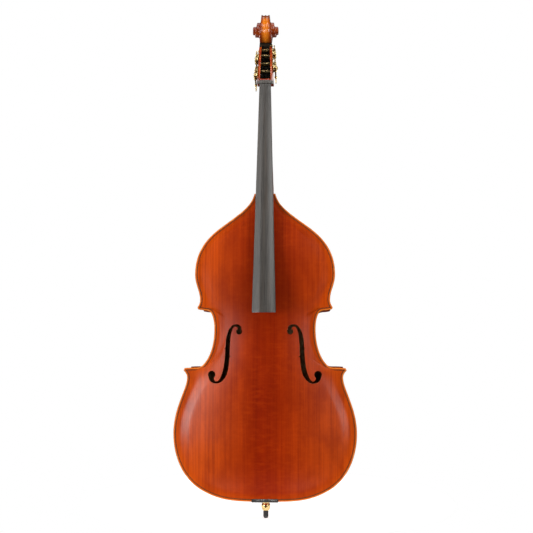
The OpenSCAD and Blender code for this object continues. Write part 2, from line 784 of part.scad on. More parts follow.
// Along the roller axis, outward
module axle(x0, x1, r) {
    translate([x0, 0, 0])
        rotate([0, 90, 0])
            cylinder(h = x1 - x0, r = r, $fn = 48);
}
plate_t = 2;
hole_y = [-12.5, 12.5];
hole_z = [-12.5, 11.5];
module pegbox() {
    back = [head_pt(54.2, 265.5), head_pt(60.5, 242), head_pt(62.5, 215), head_pt(60, 188),
            head_pt(58, 160), head_pt(61, 125), head_pt(67, 85), head_pt(72, 50),
            head_pt(74, 30), head_pt(72.5, 21)];
    arc = [for (a = [throat_a : scroll_step : 400])
        let (p = scroll_uv(a, scroll_r(a) + 0.05)) head_pt(p[0], p[1])];
    // The cheeks fall back into a throat below the scroll
    throat = [head_pt(0, 0), head_pt(0, 132), head_pt(2, 140), head_pt(7, 149), head_pt(12, 158),
              head_pt(14, 168)];
    color([0.6, 0.2, 0.06])
        difference() {
            intersection() {
                side_prism(concat(throat, arc, back, [[box_y + 68, box_z]]), 50);
                front_wedge(box_half, box_taper, -40, 300);
            }
            intersection() {
                side_prism([head_pt(-9, box_low - 3), head_pt(-9, box_high + 3), head_pt(26, box_high - 6),
                            head_pt(40, box_high - 22), head_pt(47, 110), head_pt(54, 55),
                            head_pt(50, 27), head_pt(36, 17)], 50);
                front_wedge(box_in_half, box_in_taper, -20, box_high);
            }
            // The lower corners behind the nut slope in to the neck
            for (side = [-1, 1])
                at_head()
                    scale([side, 1, 1])
                        translate([0, foot_back, 0])
                            rotate([90, 0, 0])
                                linear_extrude(foot_back - foot_u)
                                    polygon([[foot_half_w, -20], [foot_out, -20],
                                             [foot_out, foot_up + 4],
                                             [box_half + 0.1, foot_up]]);
            for (i = [0 : 3]) {
                at_roller(i) {
                    axle(-cheek_face(i) + 4, cheek_face(i) + 5, roller_r + gap);
                    for (y = hole_y)
                        for (z = hole_z)
                            translate([0, y, z])
                                axle(cheek_face(i) - 9, cheek_face(i) + 5, 1.5);
                }
            }
        }
}

// Half width of the scroll against the angle wound
scroll_width = [[40, 19.8], [75, 16.5], [110, 15.5], [200, 16.5], [270, 19], [360, 24.5], [450, 30.5],
                [560, 36], [650, 40], [720, 43], [820, 46.5], [940, 48.5]];
function scroll_w(a) = lookup(a, scroll_width);
function flute(a) = a < 290 ? 3.5 * sin(180 * max(0, a - 40) / 290) : 0;
function in_head(p, x) = let (w = head_pt(p[0], p[1])) [x, w[0], body_z + w[1]];
module scroll() {
    k_end = (scroll_a1 - scroll_a0) / scroll_step;
    ang = [for (k = [0 : k_end]) scroll_a0 + k * scroll_step];
    // vertex lists: outer edge, cliff foot, for both sides, then rim grooves and centre ridge
    n = k_end + 1;
    edge_r = [for (a = ang) in_head(scroll_uv(a, scroll_r(a)), scroll_w(a))];
    edge_l = [for (p = edge_r) [-p[0], p[1], p[2]]];
    foot_r = [for (a = ang) in_head(scroll_uv(a, scroll_r(a)), scroll_w(max(40, a - 360)))];
    foot_l = [for (p = foot_r) [-p[0], p[1], p[2]]];
    groove_r = [for (a = ang) in_head(scroll_uv(a, scroll_r(a) - flute(a)), scroll_w(a) * 0.5)];
    groove_l = [for (p = groove_r) [-p[0], p[1], p[2]]];
    ridge = [for (a = ang) in_head(scroll_uv(a, scroll_r(a) - flute(a) * 0.2), 0)];
    eye = [in_head([0, scroll_v], scroll_w(scroll_a1)), in_head([0, scroll_v], -scroll_w(scroll_a1))];
    pts = concat(edge_r, edge_l, foot_r, foot_l, groove_r, groove_l, ridge, eye);
    er = 0;
    el = n;
    fr = 2 * n;
    fl = 3 * n;
    gr = 4 * n;
    gl = 5 * n;
    rd = 6 * n;
    e0 = 7 * n;
    side_r = concat(
        [for (k = [0 : k_end - turn - 1]) each [[er + k, fr + k + turn, er + k + 1],
                                                [er + k + 1, fr + k + turn, fr + k + turn + 1]]],
        [for (k = [turn : k_end - 1]) each [[fr + k, er + k, fr + k + 1],
                                            [fr + k + 1, er + k, er + k + 1]]],
        [for (k = [k_end - turn : k_end - 1]) [er + k, e0, er + k + 1]],
        [[er + k_end - turn, fr + k_end, er + k_end], [er + k_end - turn, er + k_end, e0]]);
    side_l = [for (f = side_r) [for (j = [2, 1, 0]) f[j] == e0 ? e0 + 1 : f[j] + n]];
    rim = [for (k = [0 : turn - 2])
        each [[er + k, er + k + 1, gr + k], [gr + k, er + k + 1, gr + k + 1],
              [gr + k, gr + k + 1, rd + k], [rd + k, gr + k + 1, rd + k + 1],
              [rd + k, rd + k + 1, gl + k], [gl + k, rd + k + 1, gl + k + 1],
              [gl + k, gl + k + 1, el + k], [el + k, gl + k + 1, el + k + 1]]];
    t = turn;
    last = [[er + t - 1, er + t, fr + t], [er + t - 1, fr + t, gr + t - 1], [gr + t - 1, fr + t, gr + t],
            [gr + t - 1, gr + t, rd + t - 1], [rd + t - 1, gr + t, rd + t],
            [rd + t - 1, rd + t, gl + t - 1], [gl + t - 1, rd + t, gl + t],
            [gl + t - 1, gl + t, fl + t], [gl + t - 1, fl + t, el + t - 1], [el + t - 1, fl + t, el + t]];
    start = [[er, gr, gr + t, fr + t], [gr, rd, rd + t, gr + t],
             [rd, gl, gl + t, rd + t], [gl, el, fl + t, gl + t]];
    faces = concat(side_r, side_l, rim, last, start);
    color([0.62, 0.24, 0.07])
        polyhedron(pts, faces);
}

// Tuning machines
gear_w = 4;
mesh_gap = 0.25;
tooth_share = 0.74;
gear_tip = 1.3;
gear_root = 1.6;
gear_x = plate_t + 0.5 + worm_r + 1.2;
worm_drop = gear_r + worm_r + mesh_gap;
worm_pitch = 2 * PI * gear_r / gear_teeth;
brass_c = [0.83, 0.66, 0.3];
lug_y = 12;
lug_t = 4;
shaft_r = 3;
module tuner_plate(i) {
    c = cheek_face(i) + 0.05;
    color(brass_c)
        at_roller(i)
            difference() {
                union() {
                    translate([c, -lug_y - lug_t, -worm_drop - 7])
                        cube([plate_t, 2 * (lug_y + lug_t), worm_drop + 23]);
                    for (y = [-lug_y - lug_t, lug_y])
                        translate([c, y, -worm_drop - 5.5])
                            cube([gear_x + 5, lug_t, 11]);
                }
                axle(c - 1, c + plate_t + 1, 4 + gap);
                for (y = hole_y)
                    for (z = hole_z)
                        translate([0, y, z])
                            axle(c - 1, c + plate_t + 1, 1.5);
                translate([c + gear_x, -40, -worm_drop])
                    rotate([-90, 0, 0])
                        cylinder(h = 80, r = shaft_r + gap, $fn = 32);
            }
}
module roller(i) {
    c = cheek_face(i);
    color(brass_c)
        at_roller(i)
            difference() {
                union() {
                    axle(-c + 4.3, c - 0.3, roller_r);
                    axle(c - 1, c + gear_x + gear_w / 2, 4);
                }
                rotate([90, 0, 0])
                    translate([0, 0, -20])
                        cylinder(h = 40, r = 1.75, $fn = 32);
                axle(c + gear_x - 8, c + gear_x + 5, 2);
            }
}
module gear_figure() {
    polygon([for (k = [0 : gear_teeth - 1]) for (q = [[-0.30, -1], [-0.17, 1], [0.17, 1], [0.30, -1]])
        let (a = 360 * (k + q[0] * tooth_share + 0.5) / gear_teeth,
             r = q[1] > 0 ? gear_r + gear_tip : gear_r - gear_root)
        [r * cos(a), r * sin(a)]]);
}
module gear(i) {
    c = cheek_face(i);
    color(brass_c)
        at_roller(i)
            difference() {
                union() {
                    translate([c + gear_x - gear_w / 2, 0, 0])
                        rotate([90, 0, 90])
                            linear_extrude(gear_w)
                                rotate(-90)
                                    gear_figure();
                    axle(c + plate_t + 0.4, c + gear_x - gear_w / 2 + 0.5, 7);
                }
                axle(c, c + gear_x + 5, 4.02);
            }
}
module gear_screw(i) {
    c = cheek_face(i) + gear_x + gear_w / 2;
    color(brass_c)
        at_roller(i)
            difference() {
                union() {
                    axle(c - 8, c + 0.1, 1.95);
                    axle(c + 0.05, c + 2.4, 5.5);
                }
                translate([c + 1.6, -0.6, -8])
                    cube([3, 1.2, 16]);
            }
}
worm_turns = 3;
worm_seg = 12;
function worm_edge(f) =
    let (g = abs(f - 0.5) * worm_pitch) g < 0.55 ? worm_r + 1.2 : g < 1.15
    ? worm_r + 1.2 - (g - 0.55) / 0.6 * 2.7 : worm_r - 1.5;
module worm(i) {
    c = cheek_face(i);
    len_w = worm_turns * worm_pitch;
    color(brass_c)
        at_roller(i)
            translate([c + gear_x, 0, -worm_drop])
                rotate([-90, 0, 0]) {
                    translate([0, 0, -len_w / 2])
                        rotate([0, 0, -90])
                            linear_extrude(len_w, twist = -360 * worm_turns, slices = worm_turns * worm_seg)
                            polygon([for (k = [0 : 17]) let (f = [0, 0.1, 0.2, 0.25, 0.31, 0.36, 0.385, 0.43,
                                                                  0.5, 0.57, 0.615, 0.64, 0.69, 0.75,
                                                                  0.8, 0.86, 0.91, 0.95][k])
                                [worm_edge(f) * cos(360 * f), worm_edge(f) * sin(360 * f)]]);
                    translate([0, 0, -lug_y - lug_t - 1])
                        cylinder(h = lug_y + lug_t + 63, r = shaft_r, $fn = 32);
                }
}
key_y = 60;
key_turn = [90, 90, 45, 45];
module key(i) {
    c = cheek_face(i);
    color(brass_c)
        at_roller(i)
            translate([c + gear_x, key_y, -worm_drop])
                rotate([0, key_turn[i], 0])
                    difference() {
                        union() {
                            rotate([-90, 0, 0])
                                cylinder(h = 10, r = 5, $fn = 32);
                            translate([0, 20, -2.5])
                                cylinder(h = 5, r = 15, $fn = 48);
                        }
                        rotate([-90, 0, 0])
                            translate([0, 0, -1])
                                cylinder(h = 3.1, r = shaft_r + 0.02, $fn = 32);
                    }
}
module tuner_screws() {
    color(brass_c)
        for (i = [0 : 3])
            at_roller(i)
                for (y = hole_y)
                    for (z = hole_z)
                        translate([0, y, z]) {
                            axle(cheek_face(i) - 8.5, cheek_face(i) + plate_t + 0.2, 1.45);
                            axle(cheek_face(i) + plate_t + 0.1, cheek_face(i) + plate_t + 1.5, 2.8);
                        }
}

module tuner_plate_1() {
    tuner_plate(0);
}
module roller_1() {
    roller(0);
}
module gear_1() {
    gear(0);
}
module gear_screw_1() {
    gear_screw(0);
}
module worm_1() {
    worm(0);
}
module key_1() {
    key(0);
}
module tuner_plate_2() {
    tuner_plate(1);
}
module roller_2() {
    roller(1);
}
module gear_2() {
    gear(1);
}
module gear_screw_2() {
    gear_screw(1);
}
module worm_2() {
    worm(1);
}
module key_2() {
    key(1);
}
module tuner_plate_3() {
    tuner_plate(2);
}
module roller_3() {
    roller(2);
}
module gear_3() {
    gear(2);
}
module gear_screw_3() {
    gear_screw(2);
}
module worm_3() {
    worm(2);
}
module key_3() {
    key(2);
}
module tuner_plate_4() {
    tuner_plate(3);
}
module roller_4() {
    roller(3);
}
module gear_4() {
    gear(3);
}
module gear_screw_4() {
    gear_screw(3);
}
module worm_4() {
    worm(3);
}
module key_4() {
    key(3);
}

top_plate();
back_plate();
lower_bass_rib();
lower_treble_rib();
waist_bass_rib();
waist_treble_rib();
upper_bass_rib();
upper_treble_rib();
neck_block();
end_block();
low_bass_block();
low_treble_block();
up_bass_block();
up_treble_block();
top_linings();
back_linings();
purfling_top();
purfling_back();
bass_bar();
sound_post();
saddle();
endpin_plug();
endpin_ferrule();
endpin_rod();
endpin_tip();
endpin_screw();
neck();
fingerboard();
nut();
pegbox();
scroll();
tuner_screws();
tuner_plate_1();
roller_1();
gear_1();
gear_screw_1();
worm_1();
key_1();
tuner_plate_2();
roller_2();
gear_2();
gear_screw_2();
worm_2();
key_2();
tuner_plate_3();
roller_3();
gear_3();
gear_screw_3();
worm_3();
key_3();
tuner_plate_4();
roller_4();
gear_4();
gear_screw_4();
worm_4();
key_4();
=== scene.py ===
import math
from contextlib import contextmanager

import bmesh
import bpy
import numpy as np
from mathutils import Matrix, Vector


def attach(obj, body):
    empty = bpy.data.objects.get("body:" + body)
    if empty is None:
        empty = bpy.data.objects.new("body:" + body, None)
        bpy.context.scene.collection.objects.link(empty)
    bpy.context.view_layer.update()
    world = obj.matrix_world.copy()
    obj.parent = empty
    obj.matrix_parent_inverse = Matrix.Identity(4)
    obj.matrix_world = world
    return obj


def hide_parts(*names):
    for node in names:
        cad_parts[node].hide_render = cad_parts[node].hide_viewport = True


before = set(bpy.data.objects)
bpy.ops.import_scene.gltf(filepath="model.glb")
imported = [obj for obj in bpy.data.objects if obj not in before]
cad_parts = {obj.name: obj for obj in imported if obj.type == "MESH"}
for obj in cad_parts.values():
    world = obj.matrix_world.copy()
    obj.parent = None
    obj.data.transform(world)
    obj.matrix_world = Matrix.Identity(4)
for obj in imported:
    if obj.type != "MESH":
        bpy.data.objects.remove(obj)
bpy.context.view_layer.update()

# ---------------------------------------------------------------- dimensions
# Millimetres, heights above the body's lower edge; the mesh makers scale to metres
BODY_Z = 76
BODY_LEN = 1115
HALF_Y = 96
EDGE_T = 7
PLATE_Y = HALF_Y + EDGE_T
OVERHANG = 5.5
RIB_T = 2.2
RIB_IN = OVERHANG + RIB_T
TOP_ARCH = 38
TOP_T = 8
BACK_ARCH = 30
BACK_T = 7
SADDLE_HALF = 47.6
EDGE_R = 3.0
PURF_IN = 6.4
PURF_W = 3.2
PURF_D = 2.2
FLAT_IN = 13
LINING_IN = 26
TIP_HALF = 0.15
BLUNT_IN = 5

LOW_CURVE = [
    [(0, 0), (109, 0), (158, 2), (224, 38)],
    [(224, 38), (290, 74), (331, 150), (331, 244)],
    [(331, 244), (331, 334), (282.5, 401), (282.5, 442)],
    [(282.5, 442), (282.5, 452), (289, 460), (296, 467)],
]
MID_CURVE = [
    [(292, 475.5), (239, 480), (239, 469), (216.5, 497)],
    [(216.5, 497), (202, 515), (184.5, 556), (184.5, 612)],
    [(184.5, 612), (184.5, 649), (190, 663), (197, 676)],
    [(197, 676), (202.5, 687), (227, 682.5), (244.5, 688.5)],
]
UP_CURVE = [
    [(247, 695.5), (242.5, 702), (237.5, 711), (237.5, 721)],
    [(237.5, 721), (237.5, 758), (256.5, 776), (256.5, 818)],
    [(256.5, 818), (256.5, 903), (212, 953), (157.5, 992.5)],
    [(157.5, 992.5), (75.5, 1052), (50.5, 1071), (38.5, 1115)],
]
FOOT_CURVE = [
    [(0, 62), (170, 62), (268, 140), (268, 245)],
    [(268, 245), (268, 390), (138, 480), (138, 610)],
    [(138, 610), (138, 700), (200, 730), (200, 815)],
    [(200, 815), (200, 920), (105, 1022), (0, 1022)],
]
FOOT_LOW = 1.6
FOOT_HIGH = 2.36
FOOT_END = 3.85
FOOT_GAP = 0.012
FOOT_RISE = 0.29
SPINE_Z = (235, 860)
SIDES = ((-1, "bass"), (1, "treble"))
N_LOW = 72
N_MID = 66
N_UP = 64


def bez(p, t):
    p = np.asarray(p, float)
    t = np.atleast_1d(np.asarray(t, float))[:, None]
    return ((1 - t) ** 3 * p[0] + 3 * (1 - t) ** 2 * t * p[1]
            + 3 * (1 - t) * t * t * p[2] + t ** 3 * p[3])


def square_to(t):
    """Directions turned a quarter turn to the left."""
    return np.stack([-t[..., 1], t[..., 0]], -1)


class Section:
    """A chain of Bezier pieces looked up by the length run along it."""

    def __init__(self, curve):
        t = np.arange(60) / 60
        self.p = np.vstack([bez(c, t) for c in curve] + [np.array([curve[-1][3]], float)])
        self.s = np.concatenate([[0], np.cumsum(np.linalg.norm(np.diff(self.p, axis=0), axis=1))])
        self.len = self.s[-1]

    def at(self, s):
        s = np.asarray(s, float)
        return np.stack([np.interp(s, self.s, self.p[:, 0]), np.interp(s, self.s, self.p[:, 1])], -1)

    def shifted(self, s, d):
        s = np.asarray(s, float)
        t = self.at(np.minimum(s + 1.5, self.len)) - self.at(np.maximum(s - 1.5, 0))
        t /= np.linalg.norm(t, axis=-1, keepdims=True)
        return self.at(s) + d * square_to(t)

    def run_at_height(self, z):
        k = int(np.argmin(np.abs(self.p[:, 1] - z)))
        return self.s[k]


LOW = Section(LOW_CURVE)
MID = Section(MID_CURVE)
UP = Section(UP_CURVE)
LOW_MAX = LOW.run_at_height(244)
UP_MAX = UP.run_at_height(818)


def unit(v):
    v = np.asarray(v, float)
    return v / np.linalg.norm(v)


def eased(t):
    """A blend from 0 to 1 that starts and ends level."""
    return t * t * (3 - 2 * t)


def quarter(r, last=90):
    """Points of a quarter round as [distance in, distance up] from its corner, in steps of 15 degrees."""
    return [(r * (1 - math.sin(math.radians(a))), r * (1 - math.cos(math.radians(a))))
            for a in range(0, last + 1, 15)]


def skin(count, n):
    """Faces between rows of n points, each row closed on itself."""
    return [(k * n + i, k * n + (i + 1) % n, (k + 1) * n + (i + 1) % n, (k + 1) * n + i)
            for k in range(count - 1) for i in range(n)]


class Corner:
    """Two blunt ends, the point where the sides meet and half the angle between them."""

    def __init__(self, before, after):
        a, b = np.asarray(before[-1][3], float), np.asarray(after[0][0], float)
        da, db = unit(a - before[-1][2]), unit(b - after[0][1])
        k = ((b[0] - a[0]) * db[1] - (b[1] - a[1]) * db[0]) / (da[0] * db[1] - da[1] * db[0])
        self.a, self.b = a, b
        self.apex = a + k * da
        self.out = unit(da + db)
        self.half = math.acos(float(np.dot(da, db))) / 2

    def tip(self, d, side):
        m = (self.apex - self.out * max(d, BLUNT_IN) / math.sin(self.half)
             + side * TIP_HALF * unit(self.b - self.a))
        e = self.a if side < 0 else self.b
        return m if d >= BLUNT_IN else e + (m - e) * d / BLUNT_IN

    def trim(self, d, end):
        return max(0, d / math.tan(self.half) - np.linalg.norm(self.apex - end))


LOW_CORNER = Corner(LOW_CURVE, MID_CURVE)
UP_CORNER = Corner(MID_CURVE, UP_CURVE)


def low_line(d):
    end = LOW.len - LOW_CORNER.trim(d, LOW_CORNER.a)
    p = LOW.shifted(np.linspace(0, end, N_LOW + 1), d)
    p[0] = (0, d)
    p[-1] = LOW_CORNER.tip(d, -1)
    return p


def mid_line(d):
    a = LOW_CORNER.trim(d, LOW_CORNER.b)
    b = MID.len - UP_CORNER.trim(d, UP_CORNER.a)
    i = np.arange(N_MID + 1) / N_MID
    i = i - 0.5 * np.sin(2 * np.pi * i) / (2 * np.pi)
    p = MID.shifted(a + (b - a) * i, d)
    p[0] = LOW_CORNER.tip(d, 1)
    p[-1] = UP_CORNER.tip(d, -1)
    return p


def up_line(d):
    a = UP_CORNER.trim(d, UP_CORNER.b)
    b = UP.len - 1.03 * d
    p = UP.shifted(np.linspace(a, b, N_UP + 1), d)
    p[0] = UP_CORNER.tip(d, 1)
    p[-1][1] = BODY_LEN - d
    return p


def ring(half, top):
    left = half[:0:-1] * (-1, 1)
    return np.vstack([half, [(0, top)], left])


def edge_ring(d):
    return ring(np.vstack([low_line(d), mid_line(d), up_line(d)]), BODY_LEN - d)


def foot_half():
    q = []
    for s in np.linspace(0, LOW.len, N_LOW + 1):
        q.append(s / LOW_MAX if s < LOW_MAX
                 else 1 + (FOOT_LOW - FOOT_GAP - 1) * (s - LOW_MAX) / (LOW.len - LOW_MAX))
    q += list(np.linspace(FOOT_LOW + FOOT_GAP, FOOT_HIGH - FOOT_GAP, N_MID + 1))
    q0 = FOOT_HIGH + FOOT_GAP
    for s in np.linspace(0, UP.len, N_UP + 1):
        q.append(q0 + (3 - q0) * s / UP_MAX if s < UP_MAX
                 else 3 + (FOOT_END - 3) * (s - UP_MAX) / (UP.len - UP_MAX))
    return np.vstack([bez(FOOT_CURVE[min(3, int(v))], v - min(3, int(v))) for v in q])


FOOT = ring(foot_half(), FOOT_CURVE[3][3][1])
SPINE = np.stack([np.zeros(len(FOOT)), np.clip(FOOT[:, 1], *SPINE_Z)], -1)
RING_N = len(FOOT)


# ------------------------------------------------------------- mesh helpers
def link_new(name, data):
    ob = bpy.data.objects.new(name, data)
    bpy.context.scene.collection.objects.link(ob)
    return ob


@contextmanager
def edited(me):
    """A mesh opened for editing and written back."""
    bm = bmesh.new()
    bm.from_mesh(me)
    yield bm
    bm.to_mesh(me)
    bm.free()


def make(name, verts, faces, mats, body="body", stands_for=(), slot=None, index=None):
    """A mesh object from millimetre points, riding on a body."""
    me = bpy.data.meshes.new(name)
    me.from_pydata([tuple(v) for v in np.asarray(verts, float) / 1000], [], [tuple(f) for f in faces])
    me.validate()
    ob = link_new(name, me)
    settle(ob, mats, body, stands_for)
    if index is not None:
        me.polygons.foreach_set("material_index", np.asarray(index, np.int32))
    return ob


def settle(ob, mats, body, stands_for):
    ob.data.materials.clear()
    for m in mats:
        ob.data.materials.append(m)
    ob.data.polygons.foreach_set("use_smooth", [True] * len(ob.data.polygons))
    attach(ob, body)
    if stands_for:
        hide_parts(*stands_for)


def apply_modifiers(ob):
    dg = bpy.context.evaluated_depsgraph_get()
    dg.update()
    me = bpy.data.meshes.new_from_object(ob.evaluated_get(dg))
    old = ob.data
    ob.modifiers.clear()
    ob.data = me
    me.name = ob.name
    bpy.data.meshes.remove(old)


def sharpen(ob, degrees):
    """Splits the shading where two faces meet at more than the angle."""
    ob.data.polygons.foreach_set("use_smooth", [True] * len(ob.data.polygons))
    ob.data.set_sharp_from_angle(angle=math.radians(degrees))


def recolour(node, mat):
    """A CAD node that is shown as it is, with one material."""
    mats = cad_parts[node].data.materials
    mats.clear()
    mats.append(mat)


def weld(ob, distance=2e-6):
    with edited(ob.data) as bm:
        bmesh.ops.remove_doubles(bm, verts=bm.verts, dist=distance)
        bmesh.ops.dissolve_degenerate(bm, edges=bm.edges, dist=1e-7)
        bmesh.ops.recalc_face_normals(bm, faces=bm.faces)


def attribute(ob, name, values):
    a = ob.data.attributes.new(name, "FLOAT", "POINT")
    a.data.foreach_set("value", np.asarray(values, np.float32))


def points_of(ob):
    co = np.empty(len(ob.data.vertices) * 3)
    ob.data.vertices.foreach_get("co", co)
    return co.reshape(-1, 3)


def carry(node, mats, bevel, segments=2, angle=34, body="body", sharp=40):
    """A copy of a CAD node with eased edges, standing for it."""
    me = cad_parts[node].data.copy()
    ob = link_new(node + "_eased", me)
    with edited(me) as bm:
        bmesh.ops.remove_doubles(bm, verts=bm.verts, dist=2e-6)
        bmesh.ops.dissolve_limit(bm, angle_limit=math.radians(1.0), verts=bm.verts, edges=bm.edges)
    mod = ob.modifiers.new("ease", "BEVEL")
    mod.width = bevel / 1000
    mod.segments = segments
    mod.limit_method = "ANGLE"
    mod.angle_limit = math.radians(angle)
    mod.miter_outer = "MITER_ARC"
    apply_modifiers(ob)
    for name in list(ob.data.attributes.keys()):
        a = ob.data.attributes[name]
        if name == "custom_normal" or a.name.startswith("sharp"):
            ob.data.attributes.remove(a)
    settle(ob, mats, body, [node])
    sharpen(ob, sharp)
    return ob


def lathe(profile, segments=96):
    """Points and faces of a closed [radius, height] profile turned about Z."""
    verts, faces, n = [], [], len(profile)
    for k in range(segments):
        a = 2 * math.pi * k / segments
        verts += [(r * math.cos(a), r * math.sin(a), z) for r, z in profile]
    for k in range(segments):
        m = (k + 1) % segments
        for i in range(n):
            j = (i + 1) % n
            faces.append((k * n + i, m * n + i, m * n + j, k * n + j))
    return verts, faces


def rounded(points, radii, steps=5):
    """A polyline with its corners rounded, for lathe profiles and prisms."""
    out, n = [], len(points)
    for k in range(n):
        p = np.asarray(points[k], float)
        r = radii[k]
        if r <= 0:
            out.append(p)
            continue
        a = unit(np.asarray(points[k - 1], float) - p)
        b = unit(np.asarray(points[(k + 1) % n], float) - p)
        for i in range(steps + 1):
            t = i / steps
            q0, q1 = p + a * r, p + b * r
            out.append((1 - t) ** 2 * q0 + 2 * t * (1 - t) * p + t * t * q1)
    return [tuple(q) for q in out]


# ---------------------------------------------------------------- materials
def scaled(rgb, k):
    return tuple(c * k for c in rgb)


class Shade:
    """Builds one node material around a Principled shader."""

    def __init__(self, name, rough=0.4, metallic=0.0, spec=0.5, coat=0.0, coat_rough=0.1, **more):
        self.m = bpy.data.materials.new(name)
        self.m.use_nodes = True
        self.t = self.m.node_tree
        self.p = self.t.nodes["Principled BSDF"]
        for k, v in dict(Roughness=rough, Metallic=metallic, Specular_IOR_Level=spec, Coat_Weight=coat,
                         Coat_Roughness=coat_rough, **more).items():
            self.p.inputs[k.replace("_", " ")].default_value = v
        self.co = self.t.nodes.new("ShaderNodeTexCoord").outputs["Object"]

    def put(self, socket, v):
        if isinstance(v, bpy.types.NodeSocket):
            self.t.links.new(v, socket)
        else:
            socket.default_value = v

    def node(self, kind, **inputs):
        n = self.t.nodes.new("ShaderNode" + kind)
        for k, v in inputs.items():
            self.put(n.inputs[k.replace("_", " ")], v)
        return n

    def value(self, name):
        n = self.node("Attribute")
        n.attribute_name = name
        return n.outputs["Fac"]

    def combine(self, x, y, z):
        return self.node("CombineXYZ", X=x, Y=y, Z=z).outputs[0]

    def split(self):
        return self.node("SeparateXYZ", Vector=self.co).outputs

    def mapped(self, scale):
        return self.node("Mapping", Vector=self.co, Scale=scale).outputs[0]

    def noise(self, co, scale, detail=2.0, rough=0.5, warp=0.0):
        return self.node("TexNoise", Vector=co, Scale=scale, Detail=detail, Roughness=rough,
                         Distortion=warp).outputs["Fac"]

    def grain(self, scale, detail=2.0, rough=0.5):
        """Noise stretched by a scale along each of the object's axes."""
        return self.noise(self.mapped(scale), 1.0, detail, rough)

    def wave(self, co, scale, warp, detail, detail_scale):
        n = self.node("TexWave", Vector=co, Scale=scale, Distortion=warp, Detail=detail,
                      Detail_Scale=detail_scale)
        n.bands_direction = "X"
        return n.outputs["Fac"]

    def math(self, op, a, b=0.0):
        n = self.node("Math")
        n.operation = op
        self.put(n.inputs[0], a)
        self.put(n.inputs[1], b)
        return n.outputs[0]

    def times(self, a, b):
        return self.math("MULTIPLY", a, b)

    def plus(self, a, b):
        return self.math("ADD", a, b)

    def span(self, v, a, b, c=0.0, d=1.0):
        """The value's range a to b carried over to c to d, clamped."""
        return self.node("MapRange", Value=v, From_Min=a, From_Max=b, To_Min=c, To_Max=d).outputs[0]

    def mix(self, fac, a, b):
        n = self.node("Mix")
        n.data_type = "RGBA"
        n.clamp_factor = True
        self.put(n.inputs[0], fac)
        for s, v in ((n.inputs[6], a), (n.inputs[7], b)):
            self.put(s, v if isinstance(v, bpy.types.NodeSocket) else (*v, 1.0))
        return n.outputs[2]

    def finish(self, color, rough=None, height=None, distance=0.0002, strength=1.0):
        self.put(self.p.inputs["Base Color"], color)
        if rough is not None:
            self.put(self.p.inputs["Roughness"], rough)
        if height is not None:
            bump = self.node("Bump", Strength=strength, Distance=distance, Height=height)
            self.put(self.p.inputs["Normal"], bump.outputs[0])
        return self.m


def spruce_varnished():
    s = Shade("spruce_varnish", rough=0.55, spec=0.03, coat=0.21, coat_rough=0.30)
    x, _, z = s.split()
    lines = s.wave(s.mapped((1, 0, 0.02)), 150, warp=3.0, detail=2.5, detail_scale=0.35)
    fine = s.span(lines, 0.5, 1.0)
    streak = s.plus(s.times(s.grain((310, 0.4, 1.6), 4.0, 0.7), 0.6),
                    s.times(s.grain((95, 0.4, 0.9), 4.0, 0.6), 0.4))
    broad = s.grain((30, 0.2, 1.1), 3.0, 0.55)
    silk = s.grain((26, 1, 85), 3.0, 0.6)
    cloud = s.grain((4.5, 1, 3.2), 4.0, 0.55)
    centre = s.math("ABSOLUTE", x)
    # Brighter orange toward the sides is the varnish tone; the lean gives the left side more of it, as
    # painted light from the left
    left_painted_light = s.math("SUBTRACT", centre, s.times(x, 0.16))
    side = s.span(left_painted_light, 0.03, 0.27, 0.0, 1.0)
    tone = s.plus(s.times(broad, 0.40), s.times(cloud, 0.60))
    base = s.mix(s.span(tone, 0.38, 0.64), (0.245, 0.0125, 0.0006), (0.385, 0.028, 0.0010))
    base = s.mix(s.times(side, 0.80), base, (0.66, 0.086, 0.0028))
    base = s.mix(s.span(streak, 0.44, 0.64, 0.0, 0.55), base, (0.16, 0.0080, 0.0006))
    base = s.mix(s.span(silk, 0.46, 0.70, 0.0, 0.22), base, (0.55, 0.058, 0.0022))
    base = s.mix(s.times(fine, 0.04), base, (0.13, 0.0065, 0.0005))
    smoke = s.grain((13, 1, 6), 5.0, 0.62)
    base = s.mix(s.span(smoke, 0.44, 0.68, 0.0, 0.55), base, (0.20, 0.0105, 0.0005))
    waist = s.times(s.span(z, 0.60, 0.76), s.span(z, 0.86, 1.02, 1.0, 0.0))
    waist = s.times(waist, s.span(centre, 0.06, 0.20, 1.0, 0.0))
    base = s.mix(s.times(waist, 0.38), base, (0.19, 0.0100, 0.0005))
    edge = s.value("edge")
    # The polish is thin at the edges, the middle and the upper bouts
    polish = s.times(s.span(z, 0.58, 0.80, 0.55, 0.04), s.span(edge, 0.008, 0.050, 0.25, 1.0))
    polish = s.times(polish, s.span(centre, 0.06, 0.22, 0.12, 1.0))
    s.put(s.p.inputs["Coat Weight"], polish)
    # A band inside the edge is painted lighter orange, as painted light along the edges
    edge_painted_light = s.span(edge, 0.009, 0.030, 0.16, 0.0)
    base = s.mix(edge_painted_light, base, (0.68, 0.11, 0.005))
    # The rounded edge outside the purfling is painted light orange, a painted highlight along the edge; the
    # pale flecks on it are worn varnish
    rim = s.span(edge, 0.0028, 0.0052, 1.0, 0.12)
    rim = s.times(rim, s.span(edge, 0.0058, 0.0066, 1.0, 0.0))
    base = s.mix(s.times(rim, 0.85), base, (0.74, 0.20, 0.022))
    wear = s.span(s.grain((40, 40, 40), 4.0, 0.6), 0.52, 0.70)
    base = s.mix(s.times(s.times(rim, wear), 0.5), base, (0.86, 0.42, 0.13))
    rough = s.span(s.grain((9, 9, 4), 4.0, 0.6), 0.3, 0.7, 0.44, 0.58)
    h = s.plus(s.times(lines, 0.12), s.times(streak, 1.2))
    return s.finish(base, rough, h, 0.00016, 0.35)


